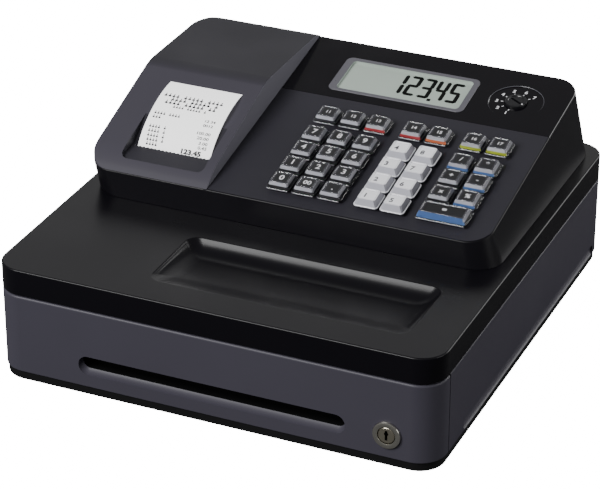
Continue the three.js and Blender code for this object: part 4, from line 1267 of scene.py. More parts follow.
    def display_panel(self, finishes: Finishes) -> bpy.types.Object:
        """The gloss panel with the display window and the mode dish.

        Args:
            finishes: The register's finishes.

        Returns:
            The finished piece.
        """
        form = self.outer().kept(self.panel_block(
            (self.bay_right + GAP, FAR), (self.display_start, FAR), (-self.display_thickness, CUT_OVER)))
        window = Form.loft([
            even_outline(self.window_x, self.window_s, self.window_corner, n)
            for n in (-CUT_OVER * self.display_thickness, CUT_OVER)]).moved(PANEL)
        x, s = self.dish
        rim = self.dish_radius + self.dish_rim
        dish = Form.turned([
            (0.0, -self.dish_depth), (self.dish_radius - self.dish_foot, -self.dish_depth),
            (self.dish_radius, self.dish_rim - self.dish_depth), (self.dish_radius, -self.dish_rim), (rim, 0.0),
            (rim, CUT_OVER), (0.0, CUT_OVER)], 96).moved(Matrix.Translation((x, s, 0.0)))
        # The dish's rim wall is painted lighter grey as painted highlight
        dish.tinted(1, lambda face: -self.dish_rim < face_height(face) < 0.0)
        bore = Form.rod(Axis.Z, (x, s, 0.0), self.rotor_bore, self.bore_reach, 48)
        form.cut(window, dish.moved(PANEL), bore.moved(PANEL))
        return form.piece(
            "display_panel", [finishes["gloss_black"], finishes["dish_rim"]], Body.CASE.value, "display",
            ["display_panel"])


class Mark(Enum):
    """What is printed on a key."""

    TURN = "/"
    STAR = "*"
    ADD = "+"
    TAKE = "-"
    TIMES = "x"
    SHARE = "%"
    EQUALS = "="


@dataclass(frozen=True)
class KeyPlace:
    """One key of the keyboard."""

    name: str
    x: float
    s: float
    insert: str
    strip: str = ""
    text: str = ""
    text_size: float = 6.0
    weight: float = 0.16
    shift: tuple[float, float] = (0.0, 0.0)
    slot: str = "key_dark"
    extra: float = 0.0


@dataclass
class Keyboard:
    """The keys: clear caps over label inserts with coloured edges."""

    pitch: float = 19.4
    first_row: float = 20.3
    top_row_step: float = 25.5
    number_column: float = -11.7
    department_column: float = 54.4
    function_column: float = 99.9
    flange: tuple[float, float] = (18.2, 17.6)
    flange_corner: float = 2.4
    flange_n: Span = (2.5, 3.4)
    body_draw: float = 0.75
    top_draw: float = 1.95
    top: float = 8.2
    dish: float = 0.45
    rim: float = 0.7
    flange_rounds: tuple[float, float] = (0.15, 0.2)
    step_rise: float = 0.1
    top_round: float = 0.25
    top_corners: tuple[float, float, float, float] = (1.7, 1.6, 1.2, 0.9)
    dish_slope: float = 0.4
    cap_facing: float = 0.3
    cap_band: float = 0.3
    strip_top: float = 5.3
    core_foot: tuple[float, float, float] = (1.05, 1.6, 3.45)
    core_middle: tuple[float, float] = (1.7, 1.5)
    core_top: tuple[float, float, float] = (2.7, 1.2, 7.62)
    core_facing: float = 0.6
    core_top_facing: float = 0.8
    label_inset: float = 1.1
    white_label_inset: float = 0.6
    label_corner: float = 0.7
    label_n: Span = (-0.1, 0.04)
    figure_lift: float = 0.07
    label_shift: tuple[float, float] = (0.45, -0.4)

    def row(self, number: int) -> float:
        """Place of a row up the slope."""
        return self.first_row + number * self.pitch

    def places(self) -> list[KeyPlace]:
        """Every key with its place, label and colour.

        Returns:
            The keys, in the order in which they are made.
        """
        keys: list[KeyPlace] = []
        digits = [["0", "00", "point"], ["1", "2", "3"], ["4", "5", "6"], ["7", "8", "9"]]
        for row, names in enumerate(digits):
            for column, name in enumerate(names):
                keys.append(KeyPlace(
                    f"number_key_{name}", self.number_column + column * self.pitch, self.row(row), "label_black",
                    text="." if name == "point" else name, text_size=6.0 if name == "00" else 7.4))
        for number in range(8):
            keys.append(KeyPlace(
                f"department_key_{number + 1}", self.department_column + (number // 4) * self.pitch,
                self.row(number % 4), "label_white", text=str(number + 1), text_size=6.2, shift=(-2.6, -1.0),
                slot="key_white"))
        strips = ["", "strip_blue", "", "strip_blue", "strip_blue", "strip_blue"]
        marks = [Mark.TIMES, Mark.SHARE, Mark.ADD, Mark.TAKE, Mark.TURN, Mark.STAR]
        for number, (strip, mark) in enumerate(zip(strips, marks)):
            keys.append(KeyPlace(
                f"function_key_{number + 1}", self.function_column + (number % 2) * self.pitch,
                self.row(1 + number // 2), "label_black", strip=strip, text=mark.value,
                slot="key_blue" if strip else "key_dark"))
        keys.append(KeyPlace(
            "total_key", self.function_column + self.pitch / 2, self.row(0), "label_black", strip="strip_blue",
            text=Mark.EQUALS.value, slot="key_blue", extra=self.pitch))
        upper = self.row(3) + self.top_row_step
        columns = [
            (self.number_column, "", "key_dark"), (self.number_column + self.pitch, "", "key_dark"),
            (self.number_column + 2 * self.pitch, "strip_red", "key_red"),
            (self.department_column, "strip_red", "key_red"),
            (self.department_column + self.pitch, "strip_orange", "key_orange"),
            (self.function_column, "strip_green", "key_green"),
            (self.function_column + self.pitch, "strip_green", "key_green")]
        for number, (x, strip, slot) in enumerate(columns):
            keys.append(KeyPlace(
                f"upper_key_{number + 1}", x, upper, "label_black", strip=strip, text=str(11 + number),
                text_size=4.4, weight=0.1, slot=slot))
        return keys

    def outline(self, extra: float, inset: float, corner: float, n: float) -> Outline:
        """A key's outline drawn in by an inset at a height."""
        half_x, half_s = (self.flange[0] + extra) / 2 - inset, self.flange[1] / 2 - inset
        return even_outline((-half_x, half_x), (-half_s, half_s), corner, n)

    def cap(self, extra: float) -> Form:
        """The clear cap: flange, drafted body and dished top inside a rim.

        Args:
            extra: How much wider than a plain key it is.

        Returns:
            The cap.
        """
        low, high = self.flange_n
        draw = self.body_draw + self.top_draw
        under, over = self.flange_rounds
        shoulder, crest, inner, floor = self.top_corners
        stations = [
            (under, self.flange_corner - under, low), (0.0, self.flange_corner, low + under),
            (0.0, self.flange_corner, high - over), (over, self.flange_corner - over, high),
            (self.body_draw, self.flange_corner - self.body_draw, high + self.step_rise),
            (draw - self.top_round, shoulder, self.top - self.top_round), (draw, crest, self.top),
            (draw + self.rim, inner, self.top),
            (draw + self.rim + self.dish_slope, floor, self.top - self.dish)]
        form = Form.loft([self.outline(extra, inset, corner, n) for inset, corner, n in stations], 4)
        middle = (low + high) / 2
        # Finish 1 on the flange's side band, 2 on the front, 3 on the right side: a painted highlight band on clear
        # caps, painted shade on white ones
        form.tinted(
            1, lambda face: abs(face.normal.z) < self.cap_facing and abs(face_height(face) - middle) < self.cap_band)
        form.tinted(2, lambda face: face.normal.y < -self.cap_facing and face_height(face) > high)
        form.tinted(3, lambda face: face.normal.x > self.cap_facing and face_height(face) < self.top - self.cap_band)
        return form

    def core(self, place: KeyPlace) -> Form:
        """What shows through the cap: a dark block, upper front pale as painted light, right grey as painted half
        light, skirt coloured.

        Args:
            place: The key.

        Returns:
            The block.
        """
        split = self.strip_top
        stations = [self.core_foot, (*self.core_middle, split), self.core_top]
        form = Form.loft([self.outline(place.extra, *station) for station in stations], 3)
        # Upper front pale as painted light, right side grey as painted half light; the top grey and the skirt in the
        # key's colour
        form.tinted(1, lambda face: face.normal.y < -self.core_facing and face_height(face) > split)
        form.tinted(2, lambda face: face.normal.x > self.core_facing and face_height(face) > split)
        form.tinted(4, lambda face: face.normal.z > self.core_top_facing)
        if place.strip:
            form.tinted(3, lambda face: face.normal.y < -self.core_facing and face_height(face) < split)
        return form

    def label(self, place: KeyPlace) -> Form:
        """The label plate on the dished top with its figure.

        Args:
            place: The key.

        Returns:
            The plate and its figure.
        """
        floor = self.top - self.dish
        margin = self.white_label_inset if place.insert == "label_white" else self.label_inset
        inset = self.body_draw + self.top_draw + self.rim + margin
        form = Form.loft([self.outline(place.extra, inset, self.label_corner, floor + n) for n in self.label_n], 3)
        x, s = place.shift
        figure = Form.lettering(place.text, place.text_size, weight=place.weight)
        form.with_loose(figure.moved(Matrix.Translation((x, s, floor + self.figure_lift))).painted(1))
        return form.moved(Matrix.Translation((*self.label_shift, 0.0)))

    def build(self, finishes: Finishes, places: Sequence[KeyPlace]) -> None:
        """Make every key as a cap over its core, with the label on top.

        Args:
            finishes: The register's finishes.
            places: The keys.
        """
        for place in places:
            seat = PANEL @ Matrix.Translation((place.x, place.s, 0.0))
            white = place.insert == "label_white"
            cap = self.cap(place.extra).moved(seat)
            # White caps take painted shade on flange, front and right side; clear caps a painted highlight band on the
            # flange
            shells = (["cap_white", "cap_white_painted_shade", "cap_white_painted_shade", "cap_white_painted_deep_shade"] if white
                      else ["cap_clear", "flange_painted_highlight", "cap_clear", "cap_clear"])
            cap.piece(f"{place.name}_cap", [finishes[shell] for shell in shells], place.name, place.slot, [place.name])
            if not white:
                # Upper front of the core: pale as painted light, or the key's colour on the wide total key
                front = place.strip if place.extra else "carrier_painted_light"
                layers = ["carrier_dark", front, "carrier_painted_half_light", place.strip or "carrier_dark", "carrier_top"]
                self.core(place).moved(seat).piece(
                    f"{place.name}_core", [finishes[layer] for layer in layers], place.name, place.slot)
            ink = "print_grey" if white else "print_white"
            self.label(place).moved(seat).piece(
                f"{place.name}_label", [finishes[place.insert], finishes[ink]], place.name, place.slot)


@dataclass
class DisplayModule:
    """Border, glass and seven-segment figures."""

    window_x: Span = (-27.15, 74.95)
    window_s: Span = (142.3, 181.7)
    glass_x: Span = (-23.0, 72.5)
    glass_s: Span = (143.4, 179.6)
    corner: float = 3.2
    flange: float = 3.0
    flange_corner: float = 2.5
    flange_n: Span = (-6.9, -2.9)
    border_rise: float = 1.0
    border_edge: float = 0.35
    face_n: float = 0.55
    glass_n: float = -1.3
    lip: float = 1.8
    lip_n: Span = (0.03, 0.04)
    figure_s: Span = (151.7, 176.5)
    figure_width: float = 9.2
    stroke: float = 3.0
    bar_gap: float = 0.35
    bar_tip: float = 0.45
    bar_n: Span = (0.01, 0.08)
    figures: tuple[tuple[str, float], ...] = (
        ("1", 14.5), ("2", 25.4), ("3", 36.3), ("4", 47.2), ("5", 58.1))
    point: tuple[float, float] = (47.1, 149.9)
    point_x: Span = (-1.4, 1.4)
    point_s: Span = (-0.5, 2.3)

    def segments(self, figure: str) -> list[tuple[Span, Span]]:
        """The lit bars of a figure, as shares of its cell.

        Args:
            figure: The figure.

        Returns:
            Each bar's reach across and up.
        """
        lit = {"1": "bc", "2": "abged", "3": "abgcd", "4": "fgbc", "5": "afgcd"}[figure]
        low, high = self.figure_s
        middle = (low + high) / 2
        width, bar, gap = self.figure_width, self.stroke, self.bar_gap
        cells = {
            "a": ((gap, width - gap), (high - bar, high)),
            "g": ((gap, width - gap), (middle - bar / 2, middle + bar / 2)),
            "d": ((gap, width - gap), (low, low + bar)),
            "b": ((width - bar, width), (middle + gap, high - gap)),
            "c": ((width - bar, width), (low + gap, middle - gap)),
            "f": ((0.0, bar), (middle + gap, high - gap)),
            "e": ((0.0, bar), (low + gap, middle - gap)),
        }
        return [cells[name] for name in lit]

    def build(self, finishes: Finishes) -> None:
        """Make the border with the sunk glass, and the figures on it.

        Args:
            finishes: The register's finishes.
        """
        wide_x = (self.window_x[0] - self.flange, self.window_x[1] + self.flange)
        wide_s = (self.window_s[0] - self.flange, self.window_s[1] + self.flange)
        form = Form.loft([even_outline(wide_x, wide_s, self.flange_corner, n) for n in self.flange_n])
        lip_x = (self.window_x[0] - self.lip, self.window_x[1] + self.lip)
        lip_s = (self.window_s[0] - self.lip, self.window_s[1] + self.lip)
        border = Form.loft([
            even_outline(self.window_x, self.window_s, self.corner, self.flange_n[0] + self.border_rise),
            even_outline(self.window_x, self.window_s, self.corner, self.lip_n[0]),
            even_outline(lip_x, lip_s, self.corner + self.lip, self.lip_n[1]),
            even_outline(lip_x, lip_s, self.corner + self.lip, self.face_n)])
        border.softened(on_level(self.face_n), self.border_edge, 3)
        form.joined(border)
        pane = Form.loft([
            even_outline(self.glass_x, self.glass_s, self.corner, n) for n in (self.glass_n, CUT_OVER)]).painted(1)
        form.cut(pane)
        form.moved(PANEL).piece(
            "display_module", [finishes["display_border"], finishes["display_glass"]], Body.CASE.value, "module",
            ["display_module"])
        bars = Form()
        n = (self.glass_n + self.bar_n[0], self.glass_n + self.bar_n[1])
        for figure, start in self.figures:
            for x, s in self.segments(figure):
                bar = Form.block((start + x[0], start + x[1]), s, n)
                bar.softened(
                    lambda edge: edge_reach(edge, Axis.Z) > LEVEL_SLACK, self.bar_tip * self.stroke, 1)
                bars.with_loose(bar)
        x, s = self.point
        bars.with_loose(Form.block(
            (x + self.point_x[0], x + self.point_x[1]), (s + self.point_s[0], s + self.point_s[1]), n))
        bars.moved(PANEL).piece("display_figures", [finishes["segment_black"]], Body.CASE.value, "module")


@dataclass
class ModeSwitch:
    """The mode switch rotor and the plain numbers round it."""

    centre: tuple[float, float] = (109.3, 165.7)
    radius: float = 8.2
    proud: float = 1.4
    reach: float = -12.0
    collar: float = 11.0
    collar_n: Span = (-4.9, -2.9)
    rim_profile: tuple[tuple[float, float], ...] = ((0.0, 0.8), (0.3, 0.25), (0.8, 0.0), (2.2, 0.0), (2.6, 0.5))
    slot: tuple[float, float] = (1.8, 9.5)
    slot_depth: float = 4.0
    pointer_in: Span = (2.1, 0.9)
    pointer_half: float = 0.45
    pointer_n: Span = (-0.05, 0.04)
    rest_turn: float = 60.0
    positions: int = 7
    first_angle: float = 42.0
    step_angle: float = 36.0
    mark_radius: float = 14.3
    mark_size: float = 4.6
    mark_weight: float = 0.16
    mark_lift: float = 0.03
    tick_reach: Span = (9.5, 11.2)
    tick_half: float = 0.35
    tick_height: float = 0.06
    dish_depth: float = 0.8

    def build(self, finishes: Finishes) -> None:
        """Make the rotor with its key slot, and the numbers in the dish.

        Args:
            finishes: The register's finishes.
        """
        x, s = self.centre
        seat = PANEL @ Matrix.Translation((x, s, 0.0))
        rim = [(self.radius - across, self.proud - down) for across, down in self.rim_profile]
        rotor = Form.turned([
            (0.0, self.reach), (self.radius, self.reach), (self.radius, self.collar_n[0]),
            (self.collar, self.collar_n[0]), (self.collar, self.collar_n[1]), (self.radius, self.collar_n[1]),
            *rim, (0.0, rim[-1][1])])
        width, length = self.slot
        slot = Form.block(
            (-width / 2, width / 2), (-length / 2, length / 2), (self.proud - self.slot_depth, self.proud + CUT_OVER))
        rotor.cut(slot.moved(Matrix.Rotation(math.radians(self.rest_turn), 4, "Z")))
        rotor.moved(seat).piece(
            "mode_rotor", [finishes["switch_black"]], Body.MODE_ROTOR.value, "rotor", ["mode_rotor"])
        pointer = Form.block(
            (self.radius - self.pointer_in[0], self.radius - self.pointer_in[1]),
            (-self.pointer_half, self.pointer_half), (self.proud + self.pointer_n[0], self.proud + self.pointer_n[1]))
        turn = Matrix.Rotation(math.radians(self.rest_turn - 90.0), 4, "Z")
        pointer.moved(seat @ turn).piece("mode_pointer", [finishes["print_white"]], Body.MODE_ROTOR.value, "rotor")
        marks = Form()
        for number in range(self.positions):
            angle = math.radians(self.first_angle + number * self.step_angle)
            place = Matrix.Translation(
                (self.mark_radius * math.cos(angle), self.mark_radius * math.sin(angle),
                 -self.dish_depth + self.mark_lift))
            figure = Form.lettering(str(self.positions - number), self.mark_size, weight=self.mark_weight)
            marks.with_loose(figure.moved(place))
            tick = Form.block(
                self.tick_reach, (-self.tick_half, self.tick_half),
                (-self.dish_depth, -self.dish_depth + self.tick_height))
            marks.with_loose(tick.moved(Matrix.Rotation(angle, 4, "Z")))
        marks.moved(seat).piece("mode_marks", [finishes["print_white"]], Body.CASE.value, "display")


@dataclass
class PrinterCover:
    """The tilting cover with its exit pocket, toothed slot and the receipt that stands in it."""

    x: Span = (-156.0, -61.0)
    y: Span = (-46.0, 154.7)
    radii: tuple[float, float, float, float] = (16.0, 0.0, 0.0, 27.0)
    wall: float = 2.2
    skirt: float = 80.0
    side_over: float = 5.0
    plan_z: Span = (70.0, 200.0)
    nose: tuple[float, float] = (-35.0, 115.28)
    slope: float = math.radians(18.7)
    crown: float = 146.4
    crown_rear: float = 4.55
    nose_blend: float = 11.0
    crown_blend: float = 7.0
    rear_blend: float = 5.5
    blend_steps: int = 14
    corner_steps: int = 12
    edge: float = 1.0
    seam_clear: float = 0.4
    rim_turn: float = 35.0
    rim_reach: float = 1.5
    # Facings that pick the painted highlight on the rounded edge and the painted reflection on the right side
    painted_highlight_facing: float = 0.3
    painted_reflection_facing: float = 0.93
    pocket_x: Span = (-133.5, -68.5)
    pocket_front: float = -37.0
    pocket_floor: float = 111.0
    slot_y: Span = (-19.2, -15.0)
    slot_z: Span = (105.0, 119.0)
    pocket_back: float = 5.0
    pocket_rear: float = 40.0
    pocket_z: Span = (90.0, 220.0)
    pocket_corner: float = 5.0
    tooth: tuple[float, float] = (3.0, 0.9)
    paper_width: float = 57.5
    paper_x: float = -100.8
    tab_y: Span = (-43.2, -41.6)
    tab_z: Span = (101.4, 107.6)
    tab_width: float = 10.0
    tab_spread: float = 22.0
    slip_start: tuple[float, float] = (-17.0, 111.8)
    slip_curl: tuple[tuple[float, float], ...] = ((2.4, 7.5), (25.0, 27.0), (55.5, 28.9))
    slip_thickness: float = 0.2
    curl_steps: int = 64
    sheet_cuts: int = 40
    stroke_rise: float = 0.05
    figure_rise: float = 0.07
    figure_thickness: float = 0.03
    figure_stretch: float = 1.3
    letter_width: float = 0.62
    letter_pitch: float = 1.5
    letter_foot: float = 0.55
    letter_stem: Span = (0.3, 0.62)
    stem_foot: float = 0.6
    word_letters: int = 6
    word_gap: int = 4
    small_print: float = 2.0
    slip_words: tuple[tuple[float, float, float, float], ...] = (
        (0.25, -25.5, 24.0, 3.4), (0.305, -18.5, 20.0, 3.4), (0.36, -22.0, 21.0, 3.4), (0.415, -14.0, 14.0, 2.4),
        (0.535, -25.5, -3.0, 2.5), (0.59, -25.5, -17.0, 2.5), (0.715, -25.0, -10.0, 2.5), (0.77, -24.5, -9.5, 2.5),
        (0.825, -24.0, -9.0, 2.5), (0.875, -23.5, -8.5, 2.5), (0.925, -23.0, -13.0, 2.5))
    slip_figures: tuple[tuple[float, float, str, float, float], ...] = (
        (0.535, 18.5, "12 34", 3.0, 0.06), (0.595, 18.5, "0012", 3.0, 0.06), (0.70, 17.5, "100.00", 3.2, 0.06),
        (0.76, 18.5, "20.00", 3.2, 0.06), (0.82, 20.0, "3.00", 3.2, 0.06), (0.873, 20.5, "0.45", 3.2, 0.06),
        (0.945, 12.5, "123.45", 4.7, 0.25))

    def profile(self, inset: float) -> Form:
        """The side profile run across, drawn in by an inset.

        Args:
            inset: How far it is drawn in.

        Returns:
            The solid.
        """
        fall = math.tan(self.slope)
        front, rear = self.y[0] + inset, self.y[1] - inset
        nose_z = self.nose[1] - inset / math.cos(self.slope)
        crown_z = self.crown - inset
        crown_y = self.nose[0] + (crown_z - nose_z) / fall
        points = [
            (front, self.skirt), (front, panel_z(front) + GAP), (self.nose[0], nose_z), (crown_y, crown_z),
            (rear - self.crown_rear, crown_z), (rear, panel_z(rear)), (rear, self.skirt)]
        return Form.prism(
            points, (self.x[0] - self.side_over, self.x[1] + self.side_over),
            rounds={2: self.nose_blend, 3: self.crown_blend, 4: self.rear_blend}, steps=self.blend_steps)

    def plan(self, inset: float) -> Form:
        """The plan prism drawn in by an inset.

        Args:
            inset: How far it is drawn in.

        Returns:
            The solid.
        """
        radii = [max(radius - inset, 0.0) for radius in self.radii]
        x = (self.x[0] + inset, self.x[1] - inset)
        y = (self.y[0] + inset, self.y[1] - inset)
        return Form.loft([Outline(x, y, radii, level(z)) for z in self.plan_z], self.corner_steps)

    def below(self) -> Form:
        """Everything under the seam on the tilted plane."""
        return Form.block((-FAR, FAR), (-FAR, FAR), (-FAR, GAP), PANEL)

    def pocket_points(self, grow: float) -> list[tuple[float, float]]:
        """Profile of the exit pocket, grown by a wall.

        Args:
            grow: Thickness of the wall.

        Returns:
            The profile's corners.
        """
        rise = math.tan(TILT)
        front = self.pocket_front - grow * CUT_OVER
        back_z = self.nose[1] + (self.pocket_back - self.nose[0]) * math.tan(self.slope)
        return [
            (front, self.pocket_floor + (front - self.pocket_front) * rise - grow),
            (self.slot_y[1] + grow, self.pocket_floor + (self.slot_y[1] - self.pocket_front) * rise - grow),
            (self.pocket_back + grow, back_z), (self.pocket_back + grow, self.plan_z[1]), (front, self.plan_z[1])]

    def slot(self) -> Form:
        """The paper slot with the saw teeth of the tear edge along its front.

        Returns:
            The slot, to cut with.
        """
        pitch, depth = self.tooth
        teeth = int(self.paper_width // pitch) + 1
        start = self.paper_x - teeth * pitch / 2
        points = [(start, self.slot_y[1])]
        for number in range(teeth):
            x = start + number * pitch
            points += [(x, self.slot_y[0]), (x + pitch / 2, self.slot_y[0] + depth)]
        points += [(start + teeth * pitch, self.slot_y[0]), (start + teeth * pitch, self.slot_y[1])]
        return Form.prism(points, self.slot_z, Axis.Z)

    def cover(self, finishes: Finishes) -> bpy.types.Object:
        """The cover itself.

        Args:
            finishes: The register's finishes.

        Returns:
            The finished piece.
        """
        form = self.profile(0.0).kept(self.plan(0.0))
        form.cut(self.below())
        right = self.x[1] - self.rim_reach

        def upper_rim(edge: bmesh.types.BMEdge) -> bool:
            """Whether an edge is a sharp one clear of the seam."""
            clear = all(vert.co.z > panel_z(vert.co.y) + GAP + self.seam_clear for vert in edge.verts)
            return clear and edge_turn(edge) > self.rim_turn

        def right_rim(edge: bmesh.types.BMEdge) -> bool:
            """Whether an upper edge lies along the right side."""
            return upper_rim(edge) and all(vert.co.x > right for vert in edge.verts)

        def right_side(face: bmesh.types.BMFace, least: float, most: float) -> bool:
            """Whether a face of the right side turns outwards by a share between two."""
            return least < face.normal.x < most and face.calc_center_median().x > right

        form.softened(right_rim, self.edge, 4).softened(upper_rim, self.edge, 4)
        # The right side is painted lighter as painted reflection, its rounded upper edge lighter still as painted
        # highlight
        form.tinted(2, lambda face: right_side(face, self.painted_reflection_facing, math.inf))
        form.tinted(3, lambda face: right_side(face, self.painted_highlight_facing, self.painted_reflection_facing))
        walls = Form.prism(
            self.pocket_points(self.wall), (self.pocket_x[0] - self.wall, self.pocket_x[1] + self.wall))
        hollow = self.profile(self.wall).kept(self.plan(self.wall)).cut(walls)
        form.cut(hollow)
        # The exit pocket's faces take a darker grey as painted shade in the recess
        pocket = Form.prism(self.pocket_points(0.0), self.pocket_x).painted(1)
        front_corners = Form.loft([
            Outline(
                self.pocket_x, (self.pocket_front, self.pocket_rear),
                [self.pocket_corner, self.pocket_corner, 0.0, 0.0], level(z)) for z in self.pocket_z]).painted(1)
        form.cut(pocket.kept(front_corners))
        form.cut(self.slot())
        tabs = [
            Form.block(
                (self.paper_x + side * self.tab_spread - self.tab_width / 2,
                 self.paper_x + side * self.tab_spread + self.tab_width / 2), self.tab_y, self.tab_z)
            for side in (-1, 1)]
        form.joined(*tabs)
        layers = ["hood_grey", "hood_recess_painted_shade", "hood_flank_painted_reflection", "hood_edge_painted_highlight"]
        return form.piece(
            "hood", [finishes[layer] for layer in layers], Body.PRINTER_COVER.value, "hood", ["printer_cover"])

    def curl(self) -> list[tuple[float, Vector]]:
        """Places along the slip's curve with the length run so far.

        Returns:
            The length run and the place, point by point.
        """
        start = Vector(self.slip_start)
        knots = [start] + [start + Vector(step) for step in self.slip_curl]
        places: list[tuple[float, Vector]] = []
        run = 0.0
        for number in range(self.curl_steps + 1):
            share = number / self.curl_steps
            rest = 1.0 - share
            place = (knots[0] * rest ** 3 + knots[1] * 3 * rest * rest * share
                     + knots[2] * 3 * rest * share * share + knots[3] * share ** 3)
            if places:
                run += (place - places[-1][1]).length
            places.append((run, place))
        return places

    def bent(self, form: Form) -> Form:
        """Lay a flat form, drawn across and along the slip, onto its curve.

        Args:
            form: The flat form.

        Returns:
            The same form, bent.
        """
        places = self.curl()
        for vert in form.bm.verts:
            along = min(max(vert.co.y, 0.0), places[-1][0] - END_SLACK)
            number = next(i for i in range(1, len(places)) if places[i][0] >= along)
            (low, first), (high, second) = places[number - 1], places[number]
            step = (second - first).normalized()
            spot = first.lerp(second, (along - low) / (high - low))
            vert.co = Vector((
                self.paper_x + vert.co.x, spot.x - step.y * vert.co.z, spot.y + step.x * vert.co.z))
        return form

    def words(self, ink: Form, top: float, left: float, right: float, height: float) -> None:
        """Draw a line of small strokes that stands for words.

        Args:
            ink: The form that takes the strokes.
            top: Place of the line's upper edge.
            left: Where it starts.
            right: Where it ends.
            height: Height of a stroke.
        """
        face = self.slip_thickness / 2
        n = (face, face + self.stroke_rise)
        width = height * self.letter_width
        for number in range(int((right - left) / (width * self.letter_pitch))):
            if number % self.word_letters == self.word_gap and height > self.small_print:
                continue
            x = left + number * width * self.letter_pitch
            ink.with_loose(Form.block((x, x + width), (top - height, top - height * self.letter_foot), n))
            ink.with_loose(Form.block(
                (x + width * self.letter_stem[0], x + width * self.letter_stem[1]),
                (top - height * self.stem_foot, top), n))

    def slip(self, finishes: Finishes) -> None:
        """The receipt: a strip that stands in the slot and curls back over the cover, with its print.

        Args:
            finishes: The register's finishes.
        """
        length = self.curl()[-1][0]
        half = self.paper_width / 2
        sheet = Form.block((-half, half), (0.0, length), (-self.slip_thickness / 2, self.slip_thickness / 2))
        lengthwise = [edge for edge in sheet.bm.edges if edge_reach(edge, Axis.Y) > LEAST_RUN]
        bmesh.ops.subdivide_edges(sheet.bm, edges=lengthwise, cuts=self.sheet_cuts, use_grid_fill=True)
        self.bent(sheet).piece(
            "receipt", [finishes["receipt_paper_painted_glow"]], Body.PRINTER_COVER.value, "paper", ["receipt_slip"])
        face = self.slip_thickness / 2
        ink = Form()
        for share, left, right, height in self.slip_words:
            self.words(ink, length * (1.0 - share) + height / 2, left, right, height)
        for share, middle, figures, size, weight in self.slip_figures:
            shift = Matrix.Translation((middle, length * (1.0 - share), face + self.figure_rise))
            figure = Form.lettering(figures, size, self.figure_thickness, weight)
            ink.with_loose(figure.moved(shift @ Matrix.Scale(self.figure_stretch, 4, (1.0, 0.0, 0.0))))
        self.bent(ink).piece("receipt_print", [finishes["receipt_ink"]], Body.PRINTER_COVER.value, "paper")


